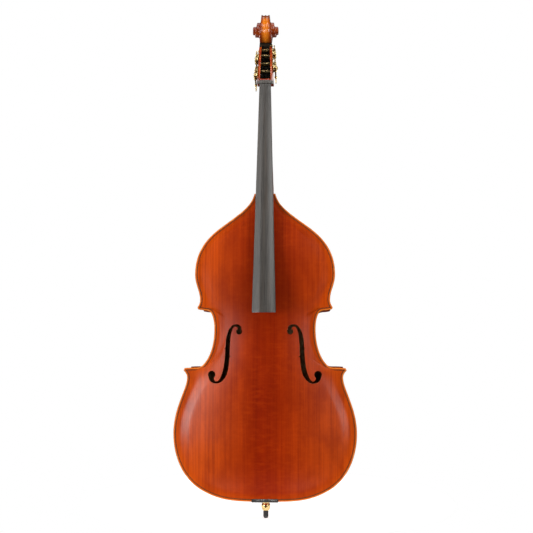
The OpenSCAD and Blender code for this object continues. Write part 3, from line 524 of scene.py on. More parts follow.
def maple_flamed(name, along, across, tint=1.0, period=0.013, coat=0.4, angle=None, gloss_and_painted_light=False):
    """Varnished maple; along is the axis or attribute down the grain, across goes over it."""
    s = Shade(name, rough=0.38, spec=0.1, coat=coat, coat_rough=0.06 if gloss_and_painted_light else 0.1)
    x, y, z = s.split()
    pick = {"x": x, "y": y, "z": z}
    a = pick[along] if along in pick else s.value(along)
    b = pick[across]
    if angle is not None:
        a = s.plus(a, s.times(s.math("ABSOLUTE", x), angle))
    k = 1 / period
    flame_co = s.combine(s.times(a, k), s.times(b, 9.0), 0.0)
    flame = s.noise(flame_co, 0.62, 2.5, 0.5, 0.35)
    wide = s.noise(s.combine(s.times(a, k * 0.22), s.times(b, 4.0), 3.0), 1.0, 2.0)
    fibre = s.noise(s.combine(s.times(a, 22.0), s.times(b, 620.0), 0.0), 1.0, 3.0, 0.6)
    f = s.span(s.plus(s.times(flame, 0.75), s.times(wide, 0.25)), 0.38, 0.64)
    dark = scaled((0.20, 0.014, 0.0009), tint)
    light = scaled((0.50, 0.085, 0.0050), tint)
    base = s.mix(f, dark, light)
    base = s.mix(s.span(fibre, 0.54, 0.78, 0.0, 0.5), base, scaled((0.105, 0.007, 0.0008), tint))
    cloud = s.grain((5, 5, 3), 3.0)
    base = s.mix(s.span(cloud, 0.4, 0.75, 0.0, 0.45), base, scaled((0.23, 0.020, 0.0018), tint))
    # On the scroll the middle of the flutes is painted light orange as a highlight, and the top is painted
    # dark as shade
    if gloss_and_painted_light:
        middle = s.span(s.math("ABSOLUTE", x), 0.004, 0.017, 1.0, 0.0)
        low_part = s.span(z, 1.73, 1.79, 0.0, 1.0)
        flute_painted_highlight = s.times(middle, s.times(low_part, s.span(z, 1.868, 1.893, 1.0, 0.0)))
        base = s.mix(s.times(flute_painted_highlight, 0.75), base, (0.98, 0.27, 0.012))
        base = s.mix(s.span(z, 1.868, 1.900, 0.0, 0.75), base, (0.10, 0.010, 0.002))
    rough = s.span(s.grain((14, 14, 14), 4.0, 0.6), 0.3, 0.7, 0.26, 0.40)
    h = s.plus(s.times(fibre, 1.0), s.times(flame, 0.5))
    return s.finish(base, rough, h, 0.00012, 0.4)


def raw_spruce(name="raw_spruce", tone=1.0, varnished_rim=False):
    s = Shade(name, rough=0.72, spec=0.3)
    streak = s.grain((260, 40, 7), 3.0, 0.6)
    cloud = s.grain((8, 8, 3), 3.0)
    base = s.mix(s.span(streak, 0.35, 0.7), scaled((0.62, 0.43, 0.22), tone),
                 scaled((0.40, 0.24, 0.10), tone))
    base = s.mix(s.span(cloud, 0.4, 0.8, 0.0, 0.5), base, scaled((0.48, 0.30, 0.14), tone))
    rough = s.span(cloud, 0.3, 0.7, 0.62, 0.82)
    if varnished_rim:
        rim = s.span(s.value("edge"), OVERHANG / 1000 + 0.0014, OVERHANG / 1000 + 0.0019, 1.0, 0.0)
        rim_col = s.mix(s.span(streak, 0.4, 0.7), (0.27, 0.030, 0.0016), (0.14, 0.010, 0.0008))
        base = s.mix(rim, base, rim_col)
    return s.finish(base, rough, streak, 0.0002, 0.5)


def ebony(name, rough_low=0.36, rough_high=0.5, coat=0.0, lift=1.0, grey=1.0):
    s = Shade(name, rough=0.45, spec=0.55, coat=coat, coat_rough=0.16)
    streak = s.grain((520, 30, 9), 4.0, 0.62)
    broad = s.grain((70, 20, 2.2), 3.0, 0.5)
    pores = s.grain((1500, 400, 60), 2.0, 0.5)
    dark = scaled((0.020, 0.0175, 0.015), lift)
    mid = scaled((0.052, 0.046, 0.040), lift * grey)
    base = s.mix(s.span(streak, 0.36, 0.68), dark, mid)
    base = s.mix(s.span(broad, 0.50, 0.78, 0.0, 0.6), base, scaled((0.070, 0.050, 0.036), lift))
    base = s.mix(s.span(pores, 0.60, 0.75, 0.0, 0.7), base, (0.008, 0.007, 0.006))
    rough = s.span(streak, 0.3, 0.7, rough_low, rough_high)
    h = s.math("SUBTRACT", streak, s.times(pores, 0.6))
    return s.finish(base, rough, h, 0.00018, 0.5)


def metal(name, light, dark, rough_low, rough_high):
    s = Shade(name, rough=0.25, metallic=1.0, spec=0.5)
    cloud = s.grain((55, 55, 55), 4.0, 0.6)
    speck = s.grain((420, 420, 420), 3.0, 0.6)
    brushed = s.grain((160, 900, 160), 2.0, 0.5)
    base = s.mix(s.span(cloud, 0.42, 0.76, 0.0, 0.35), light, dark)
    base = s.mix(s.span(speck, 0.60, 0.74, 0.0, 0.45), base, dark)
    rough = s.plus(s.span(cloud, 0.35, 0.7, rough_low, rough_high), s.times(brushed, 0.06))
    return s.finish(base, rough, s.plus(s.times(speck, 0.5), brushed), 0.00004, 0.35)


def rubber():
    s = Shade("black_rubber", rough=0.6, spec=0.4)
    grain = s.grain((900, 900, 900), 3.0, 0.6)
    dust = s.grain((70, 70, 120), 4.0, 0.6)
    low = s.span(s.split()[2], 0.0, 0.012, 1.0, 0.0)
    base = s.mix(s.span(dust, 0.45, 0.75, 0.0, 0.6), (0.018, 0.018, 0.019), (0.050, 0.048, 0.046))
    base = s.mix(s.times(low, s.span(dust, 0.3, 0.6, 0.2, 0.8)), base, (0.11, 0.10, 0.09))
    rough = s.span(dust, 0.3, 0.7, 0.48, 0.72)
    return s.finish(base, rough, grain, 0.0001, 0.5)


def purfling_mats():
    out = []
    for name, a, b in (("purfling_dark", (0.011, 0.006, 0.004), (0.030, 0.012, 0.006)),
                       ("purfling_pale", (0.22, 0.060, 0.010), (0.15, 0.036, 0.006))):
        s = Shade(name, rough=0.36, spec=0.32, coat=0.3, coat_rough=0.13)
        n = s.grain((60, 60, 60), 4.0, 0.6)
        base = s.mix(s.span(n, 0.35, 0.7), a, b)
        out.append(s.finish(base, s.span(n, 0.3, 0.7, 0.3, 0.45), n, 0.0001, 0.3))
    return out


SPRUCE = spruce_varnished()
SPRUCE_RAW = raw_spruce()
PLATE_INSIDE = raw_spruce("plate_inside", varnished_rim=True)
SPRUCE_CUT = raw_spruce("spruce_cut_edge", 0.42)
BACK = maple_flamed("maple_back", "z", "x", 1.0, 0.016, angle=0.22)
RIBS = maple_flamed("maple_ribs", "run", "y", 0.95, 0.014)
NECK = maple_flamed("maple_neck", "z", "x", 1.0, 0.013)
HEAD = maple_flamed("maple_head", "z", "x", 0.86, 0.015, coat=0.75, gloss_and_painted_light=True)
CHEEKS = maple_flamed("maple_pegbox", "z", "x", 1.25, 0.015, coat=0.3)
SOCKET = maple_flamed("maple_collar", "z", "x", 0.62, 0.02)
BOARD = ebony("ebony_board", 0.33, 0.43, lift=1.35, grey=1.1)
NUT = ebony("ebony_nut", 0.34, 0.46, lift=2.4)
SADDLE = ebony("ebony_saddle", 0.14, 0.24, coat=0.7, lift=0.8)
BRASS = metal("brass_plate", (0.60, 0.46, 0.22), (0.30, 0.21, 0.09), 0.18, 0.30)
BRASS_BRIGHT = metal("brass_bright", (0.86, 0.64, 0.28), (0.52, 0.35, 0.13), 0.08, 0.20)
STEEL = metal("steel_rod", (0.66, 0.67, 0.68), (0.42, 0.42, 0.42), 0.16, 0.28)
# Darker copy of the brass for the rollers: painted shade for the dark they show in the pegbox
BRASS_DARK = metal("brass_darkened_shade", (0.30, 0.22, 0.10), (0.12, 0.085, 0.04), 0.16, 0.26)
RUBBER = rubber()
PURF_DARK, PURF_PALE = purfling_mats()


# ------------------------------------------------------------------- plates
def crown(k):
    return SPINE + (FOOT - SPINE) * (1 - k)


def crown_rise(k):
    return FOOT_RISE + (1 - FOOT_RISE) * math.sin(math.pi / 2 * k)


FLAT = edge_ring(FLAT_IN)


def outer_surface(arch):
    """Rings [points, height above the edge] from the outside edge to the crown."""
    rows = [(edge_ring(up), -out) for out, up in quarter(EDGE_R)]
    rows += [(edge_ring(PURF_IN), 0), (edge_ring(PURF_IN), -PURF_D),
             (edge_ring(PURF_IN + PURF_W), -PURF_D), (edge_ring(PURF_IN + PURF_W), 0), (FLAT, 0)]
    reach = np.linalg.norm(FOOT - FLAT, axis=1)
    depth = np.maximum(np.linalg.norm(FOOT - SPINE, axis=1), 40)
    slope = (1 - FOOT_RISE) * math.pi / 2 * arch / depth * reach
    for k in range(1, 15):
        t = k / 14
        dip = 0.45 * math.sin(math.pi * min(1, t / 0.55)) ** 2
        h = eased(t) * FOOT_RISE * arch + t * t * (t - 1) * slope - dip
        rows.append((FLAT * (1 - t) + FOOT * t, h))
    for k in range(1, 22):
        t = k / 21.6
        rows.append((crown(t), arch * crown_rise(t)))
    return rows


def inner_surface(arch, mid_t):
    rows = [(edge_ring(EDGE_R), -EDGE_T), (edge_ring(LINING_IN), -EDGE_T)]
    for k in range(1, 7):
        t = k / 6
        rows.append((edge_ring(LINING_IN) * (1 - t) + FOOT * t,
                     -EDGE_T + eased(t) * (arch * FOOT_RISE - mid_t + EDGE_T)))
    for k in range(1, 12):
        t = k / 11.4
        rows.append((crown(t), arch * crown_rise(t) - mid_t))
    return rows


def plate(node, arch, mid_t, side, mats, slot):
    under = [(edge_ring(out), -EDGE_T + up) for out, up in quarter(EDGE_R, 75)]
    rows = inner_surface(arch, mid_t)[::-1] + under + outer_surface(arch)
    verts = []
    for pts, h in rows:
        y = side * (PLATE_Y + np.broadcast_to(h, (RING_N,)))
        verts.append(np.stack([pts[:, 0], y, BODY_Z + pts[:, 1]], -1))
    verts = np.vstack(verts)
    faces = skin(len(rows), RING_N)
    half = N_LOW + N_MID + N_UP + 3
    for base in (0, (len(rows) - 1) * RING_N):
        for i in range(half):
            j = (RING_N - i) % RING_N
            a, b, c, d = i, i + 1, RING_N - i - 1, j
            f = [base + v for v in dict.fromkeys((a, b, c, d))]
            if len(f) > 2:
                faces.append(tuple(f))
    ob = make(node + "_arched", verts, faces, mats, "body", [node], slot)
    weld(ob, 1e-6)
    return ob


def prism(outline, y0, y1):
    """Points and faces of a closed prism along Y over an outline in [x, height]."""
    n = len(outline)
    v = [(x, y, BODY_Z + z) for y in (y0, y1) for x, z in outline]
    f = [tuple(range(n)), tuple(range(2 * n - 1, n - 1, -1))]
    return v, f + [(i, (i + 1) % n, n + (i + 1) % n, n + i) for i in range(n)]


def cutter(name, outline, y0, y1):
    v, f = prism(outline, y0, y1)
    me = bpy.data.meshes.new(name)
    me.from_pydata([tuple(c / 1000 for c in p) for p in v], [], f)
    me.materials.append(SPRUCE_CUT)
    ob = link_new(name, me)
    weld(ob)
    return ob


def cut(ob, cutters):
    for c in cutters:
        mod = ob.modifiers.new("cut", "BOOLEAN")
        mod.operation = "DIFFERENCE"
        mod.solver = "EXACT"
        mod.object = c
        mod.material_mode = "TRANSFER"
        apply_modifiers(ob)
    for c in cutters:
        bpy.data.objects.remove(c)


F_CURVE = [
    [(-90, 619), (-94, 627), (-99, 629), (-106, 629)],
    [(-106, 629), (-121, 629), (-132, 602), (-133.5, 565)],
    [(-133.5, 565), (-135, 530), (-135.5, 485), (-144, 460)],
    [(-144, 460), (-149, 442), (-161, 424), (-174, 424)],
    [(-174, 424), (-183, 424), (-191, 431), (-194, 441)],
]
F_RADIUS = [6.5, 4, 8.2, 9, 3.8, 8.6]
UPPER_EYE = (-92, 607.5, 11)
LOWER_EYE = (-192, 452, 13.7)
NICKS = (545, 517)


def f_outlines(side):
    """Outlines of the eyes, the stem and the two small nicks of one f-hole."""
    t = np.linspace(0, 1, 15)[:-1]
    line, rad = [], []
    for k, c in enumerate(F_CURVE):
        line.append(bez(c, t))
        rad.append(F_RADIUS[k] + (F_RADIUS[k + 1] - F_RADIUS[k]) * eased(t))
    line = np.vstack(line + [np.array([F_CURVE[-1][3]], float)])
    rad = np.concatenate(rad + [[F_RADIUS[-1]]])
    tan = np.gradient(line, axis=0)
    tan /= np.linalg.norm(tan, axis=1, keepdims=True)
    nor = square_to(tan)
    left, right = line + nor * rad[:, None], line - nor * rad[:, None]
    caps = []
    for p, d, r in ((line[-1], tan[-1], rad[-1]), (line[0], -tan[0], rad[0])):
        caps.append([p + r * (math.cos(a) * square_to(d) + math.sin(a) * d)
                     for a in np.linspace(0, math.pi, 12)[1:-1]])
    shapes = [list(left) + caps[0] + list(right[::-1]) + caps[1]]
    for x, z, r in (UPPER_EYE, LOWER_EYE):
        shapes.append([(x + r * math.cos(a), z + r * math.sin(a))
                       for a in np.linspace(0, 2 * math.pi, 49)[:-1]])
    for z, reach in zip(NICKS, (-1, 1)):
        k = int(np.argmin(np.abs(line[:, 1] - z)))
        x = line[k][0]
        tip_x = x + reach * (rad[k] + 5)
        shapes.append([(x, z - 4), (x, z + 4), (tip_x, z + 0.8), (tip_x, z - 0.8)])
    return [[(-side * x, z) for x, z in s] for s in shapes]


top = plate("top_plate", TOP_ARCH, TOP_T, -1, [SPRUCE, PLATE_INSIDE, SPRUCE_CUT], "spruce")
cutters = [cutter(f"cutter_{side}_{k}", shape, -165, -70)
           for side in (-1, 1) for k, shape in enumerate(f_outlines(side))]
notch = [(-SADDLE_HALF, -5), (SADDLE_HALF, -5), (SADDLE_HALF, 10.1), (-SADDLE_HALF, 10.1)]
cutters.append(cutter("cutter_saddle", notch, -125, -90))
cut(top, cutters)

back = plate("back_plate", BACK_ARCH, BACK_T, 1, [BACK, PLATE_INSIDE], "maple")


def edge_distance(ob):
    """Distance from the outline in metres at every vertex."""
    co = points_of(ob)
    line = edge_ring(0)
    a = np.vstack([line, line[:1]])
    seg0, seg = a[:-1], np.diff(a, axis=0)
    p = np.stack([co[:, 0] * 1000, co[:, 2] * 1000 - BODY_Z], -1)
    best = np.full(len(p), 1e9)
    n2 = np.maximum((seg ** 2).sum(1), 1e-9)
    for k in range(0, len(p), 4000):
        q = p[k:k + 4000, None, :] - seg0[None]
        t = np.clip((q * seg[None]).sum(2) / n2[None], 0, 1)
        d = np.linalg.norm(q - t[..., None] * seg[None], axis=2)
        best[k:k + 4000] = d.min(1)
    return best / 1000


# The hollow side of each plate is bare wood
for ob, side in ((top, -1), (back, 1)):
    for f in ob.data.polygons:
        if f.material_index == 0 and f.normal.y * side < -0.25:
            f.material_index = 1
    attribute(ob, "edge", edge_distance(ob))
    sharpen(ob, 38)

# Button of the back plate behind the neck heel
BUTTON_HALF = 24
BUTTON_UP = 36
outline = [(-BUTTON_HALF, -10), (BUTTON_HALF, -10)]
for a in np.linspace(0, math.pi, 41):
    outline.append((BUTTON_HALF * math.cos(a), BUTTON_UP - BUTTON_HALF + BUTTON_HALF * math.sin(a)))
ring_pts = np.array(outline, float)
ring_pts[:, 1] += BODY_LEN


def inset(loop, d):
    """A convex outline moved inward by d."""
    n = len(loop)
    out = []
    for i in range(n):
        a, p, b = loop[i - 1], loop[i], loop[(i + 1) % n]
        na = square_to(p - a) / max(np.linalg.norm(p - a), 1e-9)
        nb = square_to(b - p) / max(np.linalg.norm(b - p), 1e-9)
        m = na + nb
        m = m / max(np.linalg.norm(m), 1e-9)
        out.append(p + m * d / max(0.4, float(np.dot(m, nb))))
    return np.array(out)


def rounded_slab(name, loop, y0, y1, r, mats, **kw):
    """A plate of even thickness with rounded edges over a convex outline."""
    rows = [(inset(loop, out), y0 + up) for out, up in quarter(r)]
    rows += [(inset(loop, up), y1 - out) for out, up in quarter(r)]
    n = len(loop)
    verts = np.vstack([np.stack([p[:, 0], np.full(n, y), BODY_Z + p[:, 1]], -1) for p, y in rows])
    faces = skin(len(rows), n)
    faces.append(tuple(range(n)))
    faces.append(tuple((len(rows) - 1) * n + i for i in range(n))[::-1])
    ob = make(name, verts, faces, mats, **kw)
    weld(ob)
    sharpen(ob, 50)


rounded_slab("back_button", ring_pts, HALF_Y, PLATE_Y, 2.2, [BACK], slot="maple")


# --------------------------------------------------------------------- ribs
def rib(node, outer, inner, side):
    """One bent rib, its run along the outline kept for the flame."""
    n = len(outer)
    ys = np.linspace(-HALF_Y, HALF_Y, 7)
    run = np.concatenate([[0], np.cumsum(np.linalg.norm(np.diff(outer, axis=0), axis=1))])
    verts, faces, runs = [], [], []
    for line in (outer, inner):
        for y in ys:
            for i in range(n):
                verts.append((side * line[i][0], y, BODY_Z + line[i][1]))
                runs.append(run[i] / 1000)
    m = len(ys)

    def at(layer, j, i):
        return (layer * m + j) * n + i

    for j in range(m - 1):
        for i in range(n - 1):
            faces.append((at(0, j, i), at(0, j, i + 1), at(0, j + 1, i + 1), at(0, j + 1, i)))
            faces.append((at(1, j, i), at(1, j + 1, i), at(1, j + 1, i + 1), at(1, j, i + 1)))
        for i in (0, n - 1):
            faces.append((at(0, j, i), at(0, j + 1, i), at(1, j + 1, i), at(1, j, i)))
    for i in range(n - 1):
        for j in (0, m - 1):
            faces.append((at(0, j, i), at(1, j, i), at(1, j, i + 1), at(0, j, i + 1)))
    ob = make(node + "_bent", verts, faces, [RIBS], "body", [node], "maple")
    attribute(ob, "run", np.array(runs) + (0.37 if side > 0 else 0.0))
    with edited(ob.data) as bm:
        bmesh.ops.recalc_face_normals(bm, faces=bm.faces)
    sharpen(ob, 40)


RIB_END = 22.3
for side, word in SIDES:
    rib(f"lower_{word}_rib", low_line(OVERHANG), low_line(RIB_IN), side)
    rib(f"waist_{word}_rib", mid_line(OVERHANG), mid_line(RIB_IN), side)
    rib(f"upper_{word}_rib",
        np.vstack([up_line(OVERHANG), [(RIB_END, BODY_LEN - OVERHANG)]]),
        np.vstack([up_line(RIB_IN), [(RIB_END, BODY_LEN - RIB_IN)]]), side)


def piece_of(line, z, above):
    """The points of a rising line on one side of a height, with the point at that height."""
    keep = line[:, 1] > z if above else line[:, 1] < z
    k = int(np.argmax(keep)) if above else int(np.argmin(keep))
    t = (z - line[k - 1, 1]) / (line[k, 1] - line[k - 1, 1])
    cut_at = line[k - 1] + (line[k] - line[k - 1]) * t
    return np.vstack([[cut_at], line[k:]]) if above else np.vstack([line[:k], [cut_at]])


# Corner blocks: each fills the corner between two ribs; the last two points face the inside
LOW_BLOCK_Z = (412, 520)
UP_BLOCK_Z = (652, 745)
LOW_INNER = [(188, 497), (262, 412)]
UP_INNER = [(215, 750), (170, 692)]
for where, lower, upper, (z0, z1), inner in (("low", low_line, mid_line, LOW_BLOCK_Z, LOW_INNER),
                                             ("up", mid_line, up_line, UP_BLOCK_Z, UP_INNER)):
    figure = np.vstack([piece_of(lower(RIB_IN), z0, True), piece_of(upper(RIB_IN), z1, False)[1:], inner])
    for side, word in SIDES:
        v, f = prism([(side * x, z) for x, z in figure], -HALF_Y, HALF_Y)
        node = f"{where}_{word}_block"
        ob = make(node + "_fitted", v, f, [SPRUCE_RAW], "body", [node], "raw_spruce")
        weld(ob, 1e-6)
        sharpen(ob, 30)


# ----------------------------------------------------------------- purfling
def purfling(node, side):
    """Dark, pale and dark strips side by side in the channel, flush with the wood."""
    gap = 0.05
    ds = [PURF_IN + gap, PURF_IN + 1.0, PURF_IN + PURF_W - 1.0, PURF_IN + PURF_W - gap]
    rings = [edge_ring(d) for d in ds]
    keep = np.ones(RING_N, bool)
    if side < 0:
        keep = ~((np.abs(rings[0][:, 0]) < SADDLE_HALF) & (rings[0][:, 1] < 30))
    verts, faces, index = [], [], []
    for depth in (0.0, -PURF_D + 0.05):
        for r in rings:
            y = np.full(RING_N, side * (PLATE_Y + depth))
            verts.append(np.stack([r[:, 0], y, BODY_Z + r[:, 1]], -1))
    verts = np.vstack(verts)

    def at(layer, q, i):
        return (layer * 4 + q) * RING_N + i % RING_N

    for i in range(RING_N):
        j = (i + 1) % RING_N
        if not (keep[i] and keep[j]):
            continue
        for q in range(3):
            faces.append((at(0, q, i), at(0, q, j), at(0, q + 1, j), at(0, q + 1, i)))
            faces.append((at(1, q, i), at(1, q + 1, i), at(1, q + 1, j), at(1, q, j)))
            index += [1 if q == 1 else 0] * 2
        faces.append((at(0, 0, i), at(1, 0, i), at(1, 0, j), at(0, 0, j)))
        faces.append((at(0, 3, i), at(0, 3, j), at(1, 3, j), at(1, 3, i)))
        index += [0, 0]
    # The strips end at the saddle
    for i in range(RING_N):
        j = (i + 1) % RING_N
        if keep[i] != keep[j]:
            e = i if keep[i] else j
            for q in range(3):
                faces.append((at(0, q, e), at(0, q + 1, e), at(1, q + 1, e), at(1, q, e)))
                index.append(0)
    ob = make(node + "_laid", verts, faces, [PURF_DARK, PURF_PALE], "body", [node], "purfling", index=index)
    with edited(ob.data) as bm:
        loose = [v for v in bm.verts if not v.link_faces]
        bmesh.ops.delete(bm, geom=loose, context="VERTS")
        bmesh.ops.recalc_face_normals(bm, faces=bm.faces)
    sharpen(ob, 40)


purfling("purfling_top", -1)
purfling("purfling_back", 1)


# ------------------------------------------------------- neck and fingerboard
BOARD_SLOPE = 0.1556
OVERSTAND = 31.8
NUT_Z0 = BODY_LEN + 423
NUT_Z1 = NUT_Z0 + 12
BOARD_LEN = 865
BOARD_Z0 = NUT_Z0 - BOARD_LEN
BOARD_W_NUT = 43
BOARD_W_END = 85
BOARD_R_NUT = 70
BOARD_R_END = 88
BOARD_T = 9.5
NECK_Z0 = 1115.1
TENON_Z = (1092, 1119)
BOX_HALF = 31.9
TENON_HALF = 22
NECK_BACK = [(NECK_Z0, 95.9), (1147, 95.9), (1155, 84), (1167, 52), (1182, 12), (1199, -32), (1218, -66),
             (1243, -84), (1280, -88), (1508, -43), (1526, -38), (1538, -24), (1550, 0)]


def board_y(z):
    return -PLATE_Y - OVERSTAND + (z - BODY_LEN) * BOARD_SLOPE


def board_w(z):
    return BOARD_W_NUT + (BOARD_W_END - BOARD_W_NUT) * (NUT_Z0 - z) / BOARD_LEN


def smooth_table(table, z):
    """Monotone cubic through a table, so a stacked shape has no creases."""
    x = np.array([t[0] for t in table], float)
    y = np.array([t[1] for t in table], float)
    h = np.diff(x)
    d = np.diff(y) / h
    m = np.zeros(len(x))
    m[0], m[-1] = d[0], d[-1]
    for i in range(1, len(x) - 1):
        if d[i - 1] * d[i] > 0:
            w1, w2 = 2 * h[i] + h[i - 1], h[i] + 2 * h[i - 1]
            m[i] = (w1 + w2) / (w1 / d[i - 1] + w2 / d[i])
    k = int(np.clip(np.searchsorted(x, z) - 1, 0, len(h) - 1))
    t = (z - x[k]) / h[k]
    return (y[k] * (1 + 2 * t) * (1 - t) ** 2 + m[k] * h[k] * t * (1 - t) ** 2
            + y[k + 1] * t * t * (3 - 2 * t) + m[k + 1] * h[k] * t * t * (t - 1))


def loft(name, levels, rings, mats, **kw):
    n = len(rings[0])
    verts = [(p[0], p[1], BODY_Z + z) for z, r in zip(levels, rings) for p in r]
    faces = [tuple(range(n)), tuple((len(rings) - 1) * n + i for i in range(n))[::-1]]
    for k in range(len(rings) - 1):
        a, b = k * n, (k + 1) * n
        faces += [(a + i, b + i, b + (i + 1) % n, a + (i + 1) % n) for i in range(n)]
    ob = make(name, verts, faces, mats, **kw)
    weld(ob)
    return ob


def neck_ring(z):
    near = eased(np.clip((z - (NUT_Z0 + 3.5)) / 8.4, 0, 1))
    w = (board_w(z) / 2 - 0.2) * (1 - near) + (BOX_HALF - 0.3) * near
    yf = board_y(z)
    yb = smooth_table(NECK_BACK, z)
    e = float(np.interp(z, [NECK_Z0, 1175, 1245, NUT_Z1], [0.35, 0.45, 0.8, 0.8]))
    s = (yb - yf) * 0.25
    pinch = 0.25 * float(np.clip(yb / 40, 0, 1)) + 0.45 * float(near)
    pts = [(w, yf)]
    for i in range(49):
        a = math.pi * i / 48
        c = math.cos(a)
        pts.append((w * math.copysign(abs(c) ** 0.85, c) * (1 - pinch * math.sin(a)),
                    yf + s + (yb - yf - s) * max(0.0, math.sin(a)) ** e))
    pts.append((-w, yf))
    return pts


levels = [*np.linspace(NECK_Z0, 1290, 60), *np.linspace(1298, 1500, 16), *np.linspace(1504, NUT_Z1, 24)]
neck = loft("neck_carved", levels, [neck_ring(z) for z in levels], [NECK], stands_for=["neck"], slot="maple")
tenon_v = [(x, y, BODY_Z + z) for y in (-HALF_Y + 0.2, HALF_Y - 0.2) for z in TENON_Z
           for x in (-TENON_HALF, TENON_HALF)]
tenon_f = [(0, 1, 3, 2), (4, 6, 7, 5), (0, 4, 5, 1), (2, 3, 7, 6), (0, 2, 6, 4), (1, 5, 7, 3)]
tenon = make("neck_tenon", tenon_v, tenon_f, [NECK], slot="maple")
weld(tenon)
mod = tenon.modifiers.new("ease", "BEVEL")
mod.width = 0.0006
mod.segments = 2
apply_modifiers(tenon)
sharpen(neck, 45)
sharpen(tenon, 40)


def board_ring(z):
    """Level section of the fingerboard: flat along the bass side, round over the rest."""
    w = board_w(z) / 2
    r = BOARD_R_NUT + (BOARD_R_END - BOARD_R_NUT) * (NUT_Z0 - z) / BOARD_LEN
    yu = board_y(z) - 0.05
    h = float(np.interp(z, [BOARD_Z0, 1055, 1103, NUT_Z0], [8, 5, 0, 0]))
    base = math.sqrt(r * r - w * w)
    xb = -w + 2 * w * 0.3
    yb = math.sqrt(r * r - xb * xb) - base
    xs = [w, w, w - 0.5, w - 1.2, *np.linspace(w - 2.4, xb + 2.2, 40), xb + 1.1, xb + 0.3]
    xs += [*np.linspace(xb - 0.6, -w + 1.6, 9), -w + 0.8, -w + 0.3, -w, -w]
    drop = [2.4, 1.5, 0.6, 0.15] + [0] * 51 + [0.15, 0.6, 1.5, 2.4]
    pts = []
    for x, dr in zip(xs, drop):
        up = (math.sqrt(r * r - x * x) - base) if x > xb else yb * (x + w) / (xb + w)
        pts.append((x, yu - BOARD_T - up + dr))
    for i in range(17):
        x = -w + 2 * w * i / 16
        pts.append((x, yu - h * (1 - (x / w) ** 2)))
    return pts[::-1]


levels = [BOARD_Z0, BOARD_Z0 + 0.5, BOARD_Z0 + 1.4, *np.linspace(BOARD_Z0 + 12, NUT_Z0 - 1.2, 44),
          NUT_Z0 - 0.1]
rings = []
for z in levels:
    ease = 1.0 - max(0.0, 1.4 - (z - BOARD_Z0)) / 1.4
    r = np.array(board_ring(z))
    if ease < 1:
        mid = r.mean(0)
        r = mid + (r - mid) * (1 - 0.022 * (1 - ease) ** 2)
    rings.append([tuple(p) for p in r])
board = loft("fingerboard_shaped", levels, rings, [BOARD], stands_for=["fingerboard"], slot="ebony")
sharpen(board, 24)

carry("nut", [NUT], bevel=0.9, segments=3, angle=30, sharp=45)
carry("saddle", [SADDLE], bevel=0.9, segments=3, angle=20, sharp=50)

# --------------------------------------------------------------------- head
LEAN = math.radians(14)
BOX_Y = board_y(NUT_Z1)
BOX_Z = NUT_Z1 + 0.05
SCROLL_V = 220


def head_pt(u, v):
    return (BOX_Y + v * math.sin(LEAN) + u * math.cos(LEAN),
            BOX_Z + v * math.cos(LEAN) - u * math.sin(LEAN))


def head_uv(p):
    """Depth and height along the head of a point in metres."""
    y = p.y * 1000 - BOX_Y
    z = p.z * 1000 - BODY_Z - BOX_Z
    return y * math.cos(LEAN) - z * math.sin(LEAN), y * math.sin(LEAN) + z * math.cos(LEAN)


# Near-black wood for the pegbox hollow, and painted shadow for the throat under the scroll
BOX_DARK = raw_spruce("pegbox_dark_painted_shadow", 0.035)
pegbox = carry("pegbox", [CHEEKS, BOX_DARK], bevel=1.3, segments=3, angle=32, sharp=42)
# The hollow is coloured near black; the throat under the scroll is painted near black as the scroll's shadow
for f in pegbox.data.polygons:
    u, v = head_uv(f.center)
    within = abs(f.center.x) * 1000 < 21.0 - 0.03 * v
    hollow = 1.6 < u < 56 and 11 < v < 172 and within and f.area > 4e-6
    throat = v > 149 and u < 40 and abs(f.normal.x) < 0.5 and f.normal.y < 0
    if hollow or throat:
        f.material_index = 1
# The lower corners behind the nut are sloped in to the neck
SLOPE_HALF = 22.5
SLOPE_OUT = 9.4
SLOPE_UP = 12
for vert in pegbox.data.vertices:
    v = head_uv(vert.co)[1]
    if v < SLOPE_UP:
        limit = (SLOPE_HALF + SLOPE_OUT * max(0.0, v / SLOPE_UP)) / 1000
        vert.co.x = max(-limit, min(limit, vert.co.x))

# Half width of the scroll against the angle wound; the eye starts at EYE_A
SCROLL_A0 = 40
SCROLL_A1 = 1300
SCROLL_STEP = 4
OUTER_A1 = 400
EYE_A = 940
EYE_HALF = 48.5
WIDTHS = [(SCROLL_A0, 19.8), (75, 16.5), (110, 15.5), (150, 16.2), (190, 18.6), (240, 22), (290, 23.4),
          (360, 26), (450, 30.5), (560, 36), (650, 40), (720, 43), (820, 46.5), (EYE_A, EYE_HALF),
          (SCROLL_A1, EYE_HALF)]


